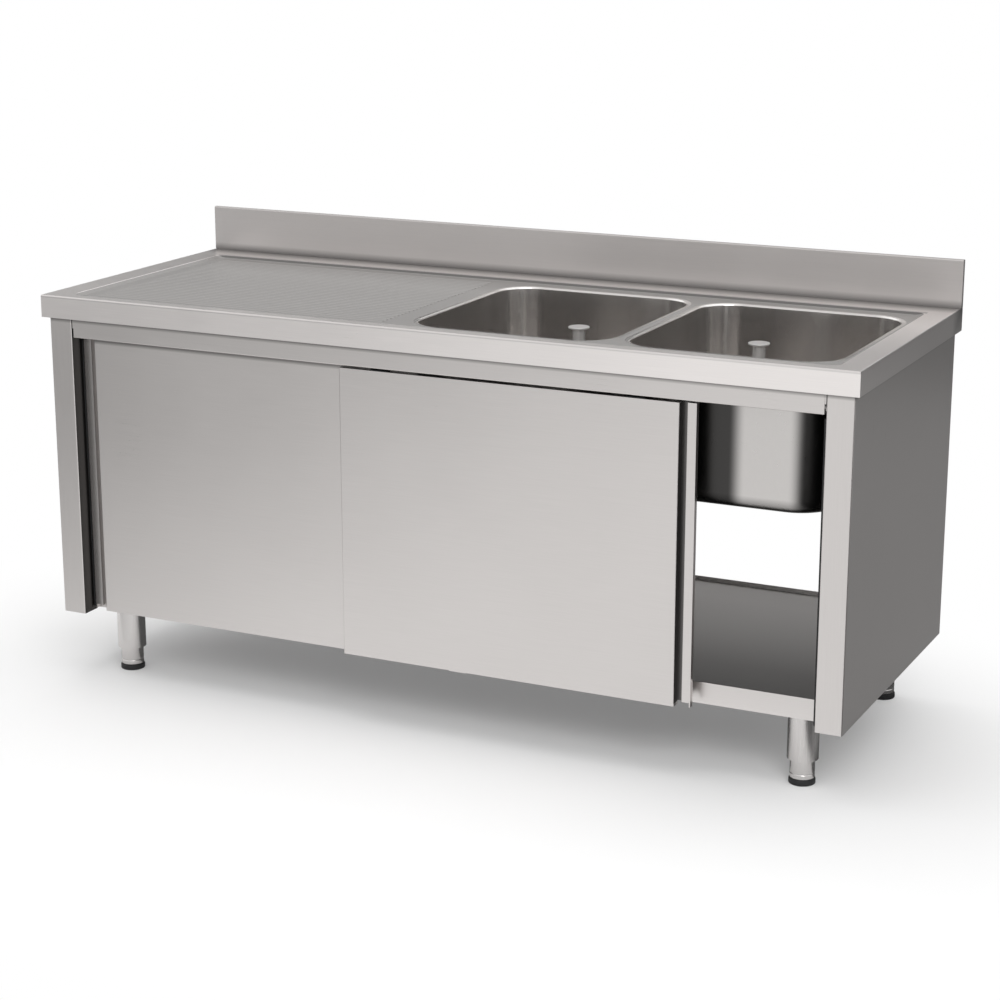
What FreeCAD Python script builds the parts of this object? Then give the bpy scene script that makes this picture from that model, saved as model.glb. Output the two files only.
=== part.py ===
import FreeCAD
import Part
import math
import os

# Stainless sink cabinet: a pressed worktop with a ribbed drainer and two bowls, a folded
# splashback, a cabinet open at the back and two hung doors that slide past each other.
# Millimetres. X to the right, Y to the back, Z up. Origin on the floor, in the middle of
# the worktop's outline. The front door is drawn part open, as it stands in the photograph.

# ---- overall sizes ----
WIDTH = 1800.0
DEPTH = 700.0
WORKTOP_HEIGHT = 850.0
SPLASH_HEIGHT = 100.0
SPLASH_THICKNESS = 12.0
EDGE_HEIGHT = 48.0            # folded edge of the worktop
BASE_HEIGHT = 145.0           # underside of the side panels above the floor

# ---- sheet metal ----
TOP_SHEET = 1.2               # worktop, splashback and bowls
SHEET = 1.0                   # panels, shelf, rails and doors
PLATE = 3.0                   # leg plates
BEND = 1.5                    # inside radius of a fold
WORKTOP_CORNER = 3.0          # outer radius along the worktop's edges

# ---- worktop ----
MARGIN_FRONT = 30.0           # flat border around the pressed pan
MARGIN_REAR = 76.0            # from the splashback's face to the pan
MARGIN_LEFT = 58.0
MARGIN_RIGHT = 50.0
PAN_DROP = 5.0
PAN_SLOPE = 12.0              # width of the sloped step into the pan
PAN_CORNER = 24.0
LIP = 10.0                    # return at the foot of the folded edge

# ---- bowls ----
BOWL_WIDTH = 428.0
BOWL_LENGTH = 498.0           # front to back
BOWL_DROP = 300.0
BOWL_CORNER = 72.0
BOWL_FLOOR_RADIUS = 52.0
BOWL_FLOOR_FLAT_COUNT = 3          # flats that make up the round foot of the walls
BOWL_RIM = 4.0                # bevelled rim
BOWL_FLANGE = 10.0            # weld flange around the rim
BOWL_SPACING = 32.0           # between the two bowls
BOWL_FRONT = 66.0             # worktop's front edge to the bowl
BOWL_RIGHT = 22.0             # pan's right side to the bowl

# ---- drainer ribs ----
RIB_PITCH = 16.0
RIB_WIDTH = 8.0
RIB_CREST = 3.5               # width of a rib's flat top
RIB_RISE = 0.8
RIB_START = 38.0              # pan's left side to the ribs
RIB_END = 54.0                # ribs to the left bowl
RIB_BORDER = 34.0             # pan's front and back to the ribs

# ---- waste and standpipe ----
WASTE_OFFSET_X = 34.0         # wastes lie towards each other from the bowls' middles
WASTE_FROM_BACK = 204.0
WASTE_FLANGE_RADIUS = 37.0
WASTE_FLANGE = 2.5
TAIL_RADIUS = 20.0
TAIL_WALL = 3.0
TAIL_LENGTH = 46.0
TAIL_GAP = 0.4                # tail to the bowl's hole and the backnut
BACKNUT = 9.0
BACKNUT_ACROSS = 60.0
STANDPIPE_RADIUS = 13.0
STANDPIPE_WALL = 1.5
STANDPIPE_BELOW_TOP = 40.0    # cap's top below the worktop
CAP_RADIUS = 22.0
CAP_THICKNESS = 3.5
COLLAR_RADIUS = 22.0          # collar that seats on the waste
COLLAR_HEIGHT = 6.0
SPIGOT = 9.0                  # tube below the collar
SLOT_WIDTH = 4.0
SLOT_HEIGHT = 26.0
SLOT_COUNT = 2

# ---- cabinet ----
FRONT_SETBACK = 13.0          # post face behind the worktop's front edge
SIDE_SETBACK = 11.5
REAR_SETBACK = 7.0
POST_WIDTH = 54.5
POST_RETURN = 46.0
REAR_FLANGE = 25.0
APRON_BOTTOM = 42.0           # apron's lower edge below the worktop's folded edge
APRON_GAP = 4.0               # open gap at each end of the apron
APRON_SETBACK = 1.0
RUN_LIP = 10.0                # height of a channel's lip, from the apron's foot
RUN_DEPTH = 10.5              # apron's face to the back of its channel
RAIL_FLANGE = 12.0
REAR_RAIL_HEIGHT = 60.0
REAR_RAIL_FLANGE = 16.0
SHELF_TOP = 192.5
SHELF_FLANGE = 44.0
SHELF_LIP = 14.0
SHELF_UPSTAND = 10.0
SHELF_REAR_GAP = 12.0         # worktop's rear edge to the shelf
STIFFENER_HEIGHT = 25.0
STIFFENER_WIDTH = 90.0
STIFFENER_FLANGE = 15.0
DRAINER_STIFFENER_COUNT = 2

# ---- doors ----
DOOR_THICKNESS = 20.0
DOOR_SETBACK = 1.5            # front door's face behind the posts' faces
DOOR_GAP = 4.0                # between the two doors
DOOR_BOTTOM = 150.0
DOOR_TOP_GAP = 5.0            # under the apron
DOOR_OVERLAP = 25.0           # closed doors lap by this much
DOOR_SIDE_GAP = 6.0           # closed door to post
FRONT_DOOR_WIDTH = 765.0
FRONT_DOOR_OPENING = 249.0    # how far the front door stands open
GRIP_WIDTH = 13.0
GRIP_DEPTH = 16.5
STRIP_WIDTH = 18.0
STRIP_DEPTH = 8.0
GRIP_CUT = 9.0                # grip ends this far above the door's foot
BACK_LIP = 8.0

# ---- door running gear ----
HANGER_INSET = 90.0
HANGER_WIDTH = 40.0
HANGER_SHEET = 2.0
HANGER_RISE = 30.0
HANGER_FOOT = 12.0
HANGER_GAP = 3.0              # channel's lip to the hanger
ROLLER_RADIUS = 13.0
ROLLER_WIDTH = 7.0
ROLLER_FLAT_COUNT = 32        # flats around a roller
AXLE_RADIUS = 3.0
RUN_CLEARANCE = 0.3           # roller to channel, and buffers to what they meet
AXLE_CLEARANCE = 0.05
GUIDE_FROM_LAP = 13.0         # bottom guide to the rear door's inner edge when closed
GUIDE_WIDTH = 40.0
GUIDE_SHEET = 2.0
SHOE_LENGTH = 16.0
SHOE_WIDTH = 8.0
SHOE_HEIGHT = 12.0
SHOE_CLEARANCE = 0.5
BUFFER_WIDTH = 10.0
BUFFER_FROM_END = 4.0         # door's head and foot to the buffers' ends
STOP_LENGTH = 16.0
STOP_MARGIN = 16.0            # guide's middle to the grip when the front door is at its stop

# ---- legs ----
LEG_RADIUS = 31.0
LEG_BOTTOM = 51.5
LEG_FROM_END = 118.0          # worktop's ends to the legs' middles
LEG_FROM_FRONT = 110.0
LEG_FROM_REAR = 50.0
LEG_PLATE = 84.0
FOOT_RADIUS = 24.5
FOOT_GAP = 0.4                # foot to the leg's bore
FOOT_TOP = 110.0
PAD_RADIUS = 26.5
PAD_HEIGHT = 12.0
PAD_FLAT_COUNT = 24           # flats around a pad

# ---- places worked out from the sizes ----
LEFT = -WIDTH / 2
RIGHT = WIDTH / 2
FRONT = -DEPTH / 2
REAR = DEPTH / 2
SPLASH_FACE = REAR - SPLASH_THICKNESS
MARGIN_UNDER = WORKTOP_HEIGHT - TOP_SHEET
PAN_LEVEL = WORKTOP_HEIGHT - PAN_DROP
PAN_UNDER = PAN_LEVEL - TOP_SHEET
EDGE_BOTTOM = WORKTOP_HEIGHT - EDGE_HEIGHT
PAN_X = (LEFT + MARGIN_LEFT, RIGHT - MARGIN_RIGHT)
PAN_Y = (FRONT + MARGIN_FRONT, SPLASH_FACE - MARGIN_REAR)

BOWL_Y = (FRONT + BOWL_FRONT, FRONT + BOWL_FRONT + BOWL_LENGTH)
RIGHT_BOWL_X = PAN_X[1] - BOWL_RIGHT - BOWL_WIDTH
LEFT_BOWL_X = RIGHT_BOWL_X - BOWL_SPACING - BOWL_WIDTH
BOWL_FLOOR = PAN_LEVEL - BOWL_DROP
WASTE_Y = BOWL_Y[1] - WASTE_FROM_BACK
LEFT_WASTE_X = LEFT_BOWL_X + BOWL_WIDTH / 2 + WASTE_OFFSET_X
RIGHT_WASTE_X = RIGHT_BOWL_X + BOWL_WIDTH / 2 - WASTE_OFFSET_X
SEAT_LEVEL = BOWL_FLOOR + WASTE_FLANGE

POST_FACE = FRONT + FRONT_SETBACK
SIDE_FACE = RIGHT - SIDE_SETBACK
SIDE_INNER = SIDE_FACE - SHEET
SIDE_REAR = REAR - REAR_SETBACK
POST_INNER = SIDE_FACE - POST_WIDTH
APRON_FACE = POST_FACE + APRON_SETBACK
APRON_END = POST_INNER - APRON_GAP
APRON_FOOT = EDGE_BOTTOM - APRON_BOTTOM

DOOR_TOP = APRON_FOOT - DOOR_TOP_GAP
FRONT_DOOR_Y = POST_FACE + DOOR_SETBACK
REAR_DOOR_Y = FRONT_DOOR_Y + DOOR_THICKNESS + DOOR_GAP
DOOR_STEP = REAR_DOOR_Y - FRONT_DOOR_Y
DOOR_LIMIT = POST_INNER - DOOR_SIDE_GAP
GRIP_TOTAL = GRIP_WIDTH + STRIP_WIDTH
FRONT_DOOR_RIGHT = DOOR_LIMIT - FRONT_DOOR_OPENING
FRONT_DOOR_LEFT = FRONT_DOOR_RIGHT - FRONT_DOOR_WIDTH
LAP_EDGE = DOOR_LIMIT - FRONT_DOOR_WIDTH + DOOR_OVERLAP
GUIDE_X = LAP_EDGE - GUIDE_FROM_LAP

RUN_Y = APRON_FACE + RUN_DEPTH - SHEET / 2
REAR_RUN_Y = RUN_Y + DOOR_STEP
RUN_TOP = APRON_FOOT + RUN_LIP
ROLLER_Y = (APRON_FACE + SHEET + RUN_Y - SHEET / 2) / 2
HANGER_Y = RUN_Y + SHEET / 2 + HANGER_GAP
AXLE_Z = APRON_FOOT + SHEET + RUN_CLEARANCE + ROLLER_RADIUS
TRACK_BACK = REAR_DOOR_Y + DOOR_THICKNESS + SHEET
SHELF_FRONT = REAR_DOOR_Y + DOOR_THICKNESS + 1.5 * SHEET
SHELF_REAR = REAR - SHELF_REAR_GAP
SHELF_UNDER = SHELF_TOP - SHEET
SHELF_FOOT = SHELF_TOP - SHELF_FLANGE
WEB_UNDER = SHELF_UNDER - STIFFENER_HEIGHT
LEG_TOP = WEB_UNDER - PLATE
LEG_X = RIGHT - LEG_FROM_END
LEG_FRONT_Y = FRONT + LEG_FROM_FRONT
LEG_REAR_Y = REAR - LEG_FROM_REAR

MIRROR_X = FreeCAD.Vector(1, 0, 0)


def vec(x, y, z):
    return FreeCAD.Vector(x, y, z)


# ---- shared shapes ----
def box(x, y, z):
    """Box between two limits along each axis."""
    return Part.makeBox(x[1] - x[0], y[1] - y[0], z[1] - z[0], vec(x[0], y[0], z[0]))


def cylinder(radius, z, x=0.0, y=0.0):
    return Part.makeCylinder(radius, z[1] - z[0], vec(x, y, z[0]))


def polygon(points):
    return Part.Face(Part.makePolygon(points + points[:1]))


def on_plan(u, v):
    return vec(u, v, 0)


def on_section(u, v):
    return vec(0, u, v)


def on_front(u, v):
    return vec(u, 0, v)


def normal(direction):
    return vec(-direction.y, direction.x, 0)


def sheet_side(path, radius, offset, place, rounded):
    """One face line of a folded sheet: straight runs that meet in arcs or in plain corners."""
    edges = []
    points = [vec(u, v, 0) for u, v in path]
    runs = [(b - a).normalize() for a, b in zip(points, points[1:])]
    here = points[0] + normal(runs[0]) * offset
    for k, (corner, first, second) in enumerate(zip(points[1:], runs, runs[1:]), 1):
        turn = math.atan2(first.cross(second).z, first.dot(second))
        side = math.copysign(1, turn)
        reach = radius * math.tan(abs(turn) / 2) if k in rounded else offset * math.tan(turn / 2)
        into = corner - first * reach + normal(first) * offset
        edges.append(Part.makeLine(place(here.x, here.y), place(into.x, into.y)))
        here = into
        if k in rounded:
            centre = corner - first * reach + normal(first) * side * radius
            middle = centre + (corner - centre).normalize() * (radius - side * offset)
            here = corner + second * reach + normal(second) * offset
            arc = Part.Arc(place(into.x, into.y), place(middle.x, middle.y), place(here.x, here.y))
            edges.append(arc.toShape())
    end = points[-1] + normal(runs[-1]) * offset
    edges.append(Part.makeLine(place(here.x, here.y), place(end.x, end.y)))
    return edges


def folded(path, sheet, place, start, length, rounded=()):
    """Sheet of one thickness folded along a centre line path and drawn out to a length.

    The folds that show, counted from 1 in rounded, have their radius; the rest are plain.
    """
    half = sheet / 2
    one = sheet_side(path, BEND + half, half, place, rounded)
    other = sheet_side(path, BEND + half, -half, place, rounded)
    caps = [Part.makeLine(one[0].firstVertex().Point, other[0].firstVertex().Point)]
    caps.append(Part.makeLine(one[-1].lastVertex().Point, other[-1].lastVertex().Point))
    face = Part.Face(Part.Wire(Part.__sortEdges__(one + other + caps)))
    face.translate(start)
    return face.extrude(length)


def rounded_wire(x, y, radius, z):
    """Rectangle with rounded corners, level at z."""
    turns = []
    for cx, cy, angle in (
        (x[1] - radius, y[0] + radius, -90),
        (x[1] - radius, y[1] - radius, 0),
        (x[0] + radius, y[1] - radius, 90),
        (x[0] + radius, y[0] + radius, 180),
    ):
        turns.append(Part.makeCircle(radius, vec(cx, cy, z), vec(0, 0, 1), angle, angle + 90))
    edges = []
    for first, second in zip(turns, turns[1:] + turns[:1]):
        edges.append(first)
        edges.append(Part.makeLine(first.lastVertex().Point, second.firstVertex().Point))
    return Part.Wire(edges)


def rounded_prism(x, y, radius, z):
    return Part.Face(rounded_wire(x, y, radius, z[0])).extrude(vec(0, 0, z[1] - z[0]))


def grown(limits, amount):
    return (limits[0] - amount, limits[1] + amount)


def turned(profile, x, y):
    """Solid of revolution about an upright axis from (radius, height) points."""
    face = polygon([vec(r, 0, z) for r, z in profile])
    face.translate(vec(x, y, 0))
    return face.revolve(vec(x, y, 0), vec(0, 0, 1), 360)


def across(radius, y, x):
    """Cylinder from front to back at the height of the rollers' axles."""
    return Part.makeCylinder(radius, y[1] - y[0], vec(x, y[0], AXLE_Z), vec(0, 1, 0))


def prism(reach, sides, place, start, length):
    """Regular prism whose corners lie on a circle."""
    corners = []
    for k in range(sides):
        angle = 2 * math.pi * k / sides
        corners.append(start + place(reach * math.cos(angle), reach * math.sin(angle)))
    return polygon(corners).extrude(length)


def mirrored(shape):
    return shape.mirror(vec(0, 0, 0), MIRROR_X)


# ---- worktop ----
def pan_loft(grow, drop):
    """Sloped sides and flat floor of the pressed pan, grown and lowered by a sheet."""
    upper = rounded_wire(grown(PAN_X, grow), grown(PAN_Y, grow), PAN_CORNER + grow,
                         WORKTOP_HEIGHT - drop)
    inset = grow - PAN_SLOPE
    lower = rounded_wire(grown(PAN_X, inset), grown(PAN_Y, inset), PAN_CORNER + inset,
                         PAN_LEVEL - drop)
    return Part.makeLoft([upper, lower], True, True)


def rib_count():
    room = (PAN_Y[1] - PAN_Y[0]) - 2 * RIB_BORDER - RIB_WIDTH
    return int(room // RIB_PITCH) + 1


def drainer_ribs():
    """Shallow raised ribs that run towards the bowls."""
    x = (PAN_X[0] + RIB_START, LEFT_BOWL_X - RIB_END)
    middle = (PAN_Y[0] + PAN_Y[1]) / 2
    first = middle - RIB_PITCH * (rib_count() - 1) / 2
    foot = PAN_LEVEL - TOP_SHEET / 2
    ribs = []
    for k in range(rib_count()):
        y = first + k * RIB_PITCH
        foot_y = grown((y, y), RIB_WIDTH / 2)
        crest_y = grown((y, y), RIB_CREST / 2)
        section = polygon([
            vec(x[0], foot_y[0], foot),
            vec(x[0], foot_y[0], PAN_LEVEL),
            vec(x[0], crest_y[0], PAN_LEVEL + RIB_RISE),
            vec(x[0], crest_y[1], PAN_LEVEL + RIB_RISE),
            vec(x[0], foot_y[1], PAN_LEVEL),
            vec(x[0], foot_y[1], foot),
        ])
        ribs.append(section.extrude(vec(x[1] - x[0], 0, 0)))
    return ribs


def worktop():
    back = REAR - TOP_SHEET
    outside = box((LEFT, RIGHT), (FRONT, back), (EDGE_BOTTOM, WORKTOP_HEIGHT))
    upper = [e for e in outside.Edges if e.BoundBox.ZMin > EDGE_BOTTOM + WORKTOP_CORNER]
    outside = outside.makeFillet(WORKTOP_CORNER, [e for e in upper if e.BoundBox.YMin < back - 1])
    inside = box(grown((LEFT, RIGHT), -TOP_SHEET), grown((FRONT, back), -TOP_SHEET),
                 (EDGE_BOTTOM + TOP_SHEET, MARGIN_UNDER))
    open_foot = box(grown((LEFT, RIGHT), -LIP), (FRONT + LIP, back - TOP_SHEET),
                    (EDGE_BOTTOM - 1, EDGE_BOTTOM + 2 * TOP_SHEET))
    shell = outside.cut(inside).cut(open_foot)
    shell = shell.fuse(pan_loft(TOP_SHEET, TOP_SHEET)).cut(pan_loft(0, 0))
    for start in (LEFT_BOWL_X, RIGHT_BOWL_X):
        x = grown((start, start + BOWL_WIDTH), BOWL_FLANGE)
        shell = shell.cut(rounded_prism(x, grown(BOWL_Y, BOWL_FLANGE), BOWL_CORNER + BOWL_FLANGE,
                                        (PAN_UNDER - 1, PAN_LEVEL + 1)))
    return shell.fuse(drainer_ribs()).removeSplitter()


def splashback():
    """Folded upstand: foot on the worktop, face, narrow top and back down to the edge."""
    half = TOP_SHEET / 2
    path = [
        (REAR - TOP_SHEET - 1, WORKTOP_HEIGHT + half),
        (SPLASH_FACE + half, WORKTOP_HEIGHT + half),
        (SPLASH_FACE + half, WORKTOP_HEIGHT + SPLASH_HEIGHT - half),
        (REAR - half, WORKTOP_HEIGHT + SPLASH_HEIGHT - half),
        (REAR - half, EDGE_BOTTOM),
    ]
    return folded(path, TOP_SHEET, on_section, vec(LEFT, 0, 0), vec(WIDTH, 0, 0), (2, 3))


def splash_end_caps():
    """Plates that close the splashback's ends; their upper corners touch the folds."""
    inset = TOP_SHEET + BEND * (1 - math.sqrt(0.5))
    y = (SPLASH_FACE + inset, REAR - inset)
    z = (WORKTOP_HEIGHT + TOP_SHEET, WORKTOP_HEIGHT + SPLASH_HEIGHT - inset)
    cap = box((RIGHT - TOP_SHEET, RIGHT), y, z)
    return Part.makeCompound([cap, mirrored(cap)])


# ---- bowls and wastes ----
def well(x, rim, rim_level, wall, floor):
    """Bowl's inside or outside: bevelled rim, upright walls and a round foot in flats.

    The rim and the walls stand out from the bowl's size by the two amounts given. The
    corners keep their radius all the way down.
    """
    radius = BOWL_FLOOR_RADIUS + wall
    sections = [(rim, rim_level), (wall, rim_level - rim + wall)]
    for k in range(BOWL_FLOOR_FLAT_COUNT + 1):
        angle = math.pi / 2 * k / BOWL_FLOOR_FLAT_COUNT
        sections.append((wall - radius * (1 - math.cos(angle)), floor + radius * (1 - math.sin(angle))))
    wires = []
    for out, z in sections:
        wires.append(rounded_wire(grown(x, out), grown(BOWL_Y, out), BOWL_CORNER + max(out, wall), z))
    return Part.makeLoft(wires, True, True)


def bowl(start, waste_x):
    """Deep-drawn bowl with a flange to weld into the pan and a hole for the waste."""
    x = (start, start + BOWL_WIDTH)
    flange = rounded_prism(grown(x, BOWL_FLANGE), grown(BOWL_Y, BOWL_FLANGE),
                           BOWL_CORNER + BOWL_FLANGE, (PAN_UNDER, PAN_LEVEL))
    outer_rim = BOWL_RIM + TOP_SHEET * math.tan(math.pi / 8)
    outer = well(x, outer_rim, PAN_UNDER, TOP_SHEET, BOWL_FLOOR - TOP_SHEET)
    body = outer.fuse(flange).cut(well(x, BOWL_RIM, PAN_LEVEL, 0, BOWL_FLOOR))
    hole = (BOWL_FLOOR - 2 * TOP_SHEET, BOWL_FLOOR + TOP_SHEET)
    return body.cut(cylinder(TAIL_RADIUS + TAIL_GAP, hole, waste_x, WASTE_Y)).removeSplitter()


def wastes():
    """Flanges on the bowls' floors, with the tails that go down through the holes."""
    bore = TAIL_RADIUS - TAIL_WALL
    tail_end = BOWL_FLOOR - TAIL_LENGTH
    profile = [
        (bore, SEAT_LEVEL),
        (WASTE_FLANGE_RADIUS, SEAT_LEVEL),
        (WASTE_FLANGE_RADIUS, BOWL_FLOOR),
        (TAIL_RADIUS, BOWL_FLOOR),
        (TAIL_RADIUS, tail_end),
        (bore, tail_end),
    ]
    return Part.makeCompound([turned(profile, x, WASTE_Y) for x in (LEFT_WASTE_X, RIGHT_WASTE_X)])


def waste_backnuts():
    top = BOWL_FLOOR - TOP_SHEET
    nuts = []
    for x in (LEFT_WASTE_X, RIGHT_WASTE_X):
        corner = vec(x, WASTE_Y, top - BACKNUT)
        nut = prism(BACKNUT_ACROSS / math.sqrt(3), 6, on_plan, corner, vec(0, 0, BACKNUT))
        hole = cylinder(TAIL_RADIUS + TAIL_GAP, (top - BACKNUT - 1, top + 1), x, WASTE_Y)
        nuts.append(nut.cut(hole))
    return Part.makeCompound(nuts)


def standpipe(x):
    """Overflow tube with a flat cap, a collar on the waste and slots under the cap."""
    top = WORKTOP_HEIGHT - STANDPIPE_BELOW_TOP
    foot = SEAT_LEVEL - SPIGOT
    collar = SEAT_LEVEL + COLLAR_HEIGHT
    inner = STANDPIPE_RADIUS - STANDPIPE_WALL
    under_cap = top - CAP_THICKNESS
    profile = [
        (0, top),
        (CAP_RADIUS, top),
        (CAP_RADIUS, under_cap),
        (STANDPIPE_RADIUS, under_cap),
        (STANDPIPE_RADIUS, collar),
        (COLLAR_RADIUS, collar),
        (COLLAR_RADIUS, SEAT_LEVEL),
        (STANDPIPE_RADIUS, SEAT_LEVEL),
        (STANDPIPE_RADIUS, foot),
        (inner, foot),
        (inner, under_cap),
        (0, under_cap),
    ]
    tube = turned(profile, x, WASTE_Y)
    slot_top = under_cap - SLOT_WIDTH
    for k in range(SLOT_COUNT):
        slot = box((0, 2 * STANDPIPE_RADIUS), (-SLOT_WIDTH / 2, SLOT_WIDTH / 2),
                   (slot_top - SLOT_HEIGHT, slot_top))
        slot.rotate(vec(0, 0, 0), vec(0, 0, 1), 360.0 * (k + 0.5) / SLOT_COUNT - 90)
        slot.translate(vec(x, WASTE_Y, 0))
        tube = tube.cut(slot)
    return tube


# ---- cabinet ----
def side_panel():
    """Right side: return, post face, plain side and rear flange from one folded sheet."""
    half = SHEET / 2
    path = [
        (POST_INNER + half, POST_FACE + POST_RETURN),
        (POST_INNER + half, POST_FACE + half),
        (SIDE_FACE - half, POST_FACE + half),
        (SIDE_FACE - half, SIDE_REAR - half),
        (SIDE_FACE - REAR_FLANGE, SIDE_REAR - half),
    ]
    height = vec(0, 0, PAN_UNDER - BASE_HEIGHT)
    panel = folded(path, SHEET, on_plan, vec(0, 0, BASE_HEIGHT), height, (1, 2))
    y = (POST_FACE + POST_RETURN, SIDE_REAR)
    riser = box((SIDE_INNER, SIDE_FACE), y, (PAN_UNDER, MARGIN_UNDER))
    return panel.fuse(riser).removeSplitter()


def apron():
    """Front rail: flange under the worktop, face, and the channel the front door runs in."""
    half = SHEET / 2
    path = [
        (APRON_FACE + RAIL_FLANGE, MARGIN_UNDER - half),
        (APRON_FACE + half, MARGIN_UNDER - half),
        (APRON_FACE + half, APRON_FOOT + half),
        (RUN_Y, APRON_FOOT + half),
        (RUN_Y, RUN_TOP),
    ]
    return folded(path, SHEET, on_section, vec(-APRON_END, 0, 0), vec(2 * APRON_END, 0, 0), (2,))


def apron_brackets():
    """Angles that join the apron's ends to the posts."""
    z = (RUN_TOP + RUN_LIP, PAN_UNDER)
    half = SHEET / 2
    path = [
        (APRON_END - RAIL_FLANGE, APRON_FACE + SHEET + half),
        (POST_INNER - half, APRON_FACE + SHEET + half),
        (POST_INNER - half, RUN_Y + RAIL_FLANGE),
    ]
    angle = folded(path, SHEET, on_plan, vec(0, 0, z[0]), vec(0, 0, z[1] - z[0]))
    return Part.makeCompound([angle, mirrored(angle)])


def rear_track():
    """Rail of the rear door: channel with its lip, back and a flange under the pan."""
    half = SHEET / 2
    back = TRACK_BACK + half
    path = [
        (REAR_RUN_Y, RUN_TOP),
        (REAR_RUN_Y, APRON_FOOT + half),
        (back, APRON_FOOT + half),
        (back, PAN_UNDER - half),
        (back - RAIL_FLANGE, PAN_UNDER - half),
    ]
    return folded(path, SHEET, on_section, vec(-POST_INNER, 0, 0), vec(2 * POST_INNER, 0, 0))


def rear_rail():
    """Channel across the back, under the worktop."""
    half = SHEET / 2
    back = SIDE_REAR - SHEET - half
    top = PAN_UNDER - half
    foot = PAN_UNDER - REAR_RAIL_HEIGHT
    path = [
        (back - REAR_RAIL_FLANGE, top),
        (back, top),
        (back, foot),
        (back - REAR_RAIL_FLANGE, foot),
    ]
    return folded(path, SHEET, on_section, vec(-SIDE_INNER, 0, 0), vec(2 * SIDE_INNER, 0, 0))


def hat_path(x, top, width, height, flange):
    """Centre line of a hat channel that hangs from the level top."""
    half = SHEET / 2
    side = width / 2 - half
    return [
        (x - width / 2 - flange, top - half),
        (x - side, top - half),
        (x - side, top - height + half),
        (x + side, top - height + half),
        (x + side, top - half),
        (x + width / 2 + flange, top - half),
    ]


def drainer_stiffeners():
    """Hat channels under the drainer, front to back."""
    y = (TRACK_BACK + 2 * SHEET, PAN_Y[1] - PAN_SLOPE)
    room = LEFT_BOWL_X - BOWL_FLANGE - PAN_X[0] - PAN_SLOPE
    channels = []
    for k in range(DRAINER_STIFFENER_COUNT):
        x = PAN_X[0] + PAN_SLOPE + room * (2 * k + 1) / (2 * DRAINER_STIFFENER_COUNT)
        path = hat_path(x, PAN_UNDER, STIFFENER_WIDTH / 2, STIFFENER_HEIGHT, STIFFENER_FLANGE)
        channels.append(folded(path, SHEET, on_front, vec(0, y[0], 0), vec(0, y[1] - y[0], 0)))
    return Part.makeCompound(channels)


def shelf():
    half = SHEET / 2
    path = [
        (SHELF_FRONT + SHELF_LIP, SHELF_FOOT + half),
        (SHELF_FRONT + half, SHELF_FOOT + half),
        (SHELF_FRONT + half, SHELF_TOP - half),
        (SHELF_REAR - half, SHELF_TOP - half),
        (SHELF_REAR - half, SHELF_TOP + SHELF_UPSTAND),
    ]
    tray = folded(path, SHEET, on_section, vec(-SIDE_INNER, 0, 0), vec(2 * SIDE_INNER, 0, 0), (2,))
    y = (SHELF_FRONT + BEND + SHEET, SHELF_REAR - SHEET)
    end = box((SIDE_INNER - SHEET, SIDE_INNER), y, (SHELF_UNDER - STIFFENER_HEIGHT, SHELF_UNDER))
    return tray.fuse([end, mirrored(end)]).removeSplitter()


def leg_places():
    return [(x, y) for x in (-LEG_X, LEG_X) for y in (LEG_FRONT_Y, LEG_REAR_Y)]


def shelf_stiffener(x):
    """Hat channel under the shelf that carries the legs' plates."""
    y = (SHELF_FRONT + SHELF_LIP + SHEET, SHELF_REAR - SHEET)
    path = hat_path(x, SHELF_UNDER, STIFFENER_WIDTH, STIFFENER_HEIGHT, STIFFENER_FLANGE)
    return folded(path, SHEET, on_front, vec(0, y[0], 0), vec(0, y[1] - y[0], 0))


# ---- legs ----
def leg(x, y):
    """Round leg with its plate and the bore that the foot screws into."""
    half = LEG_PLATE / 2
    plate = box(grown((x, x), half), grown((y, y), half), (LEG_TOP, WEB_UNDER))
    body = plate.fuse(cylinder(LEG_RADIUS, (LEG_BOTTOM, LEG_TOP), x, y)).removeSplitter()
    return body.cut(cylinder(FOOT_RADIUS + FOOT_GAP, (LEG_BOTTOM - 1, LEG_TOP), x, y))


def legs():
    return Part.makeCompound([leg(x, y) for x, y in leg_places()])


def foot(x, y):
    """Adjustable foot that screws up into the leg."""
    return cylinder(FOOT_RADIUS, (PAD_HEIGHT, FOOT_TOP), x, y)


def foot_pad(x, y):
    return prism(PAD_RADIUS, PAD_FLAT_COUNT, on_plan, vec(x, y, 0), vec(0, 0, PAD_HEIGHT))


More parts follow.
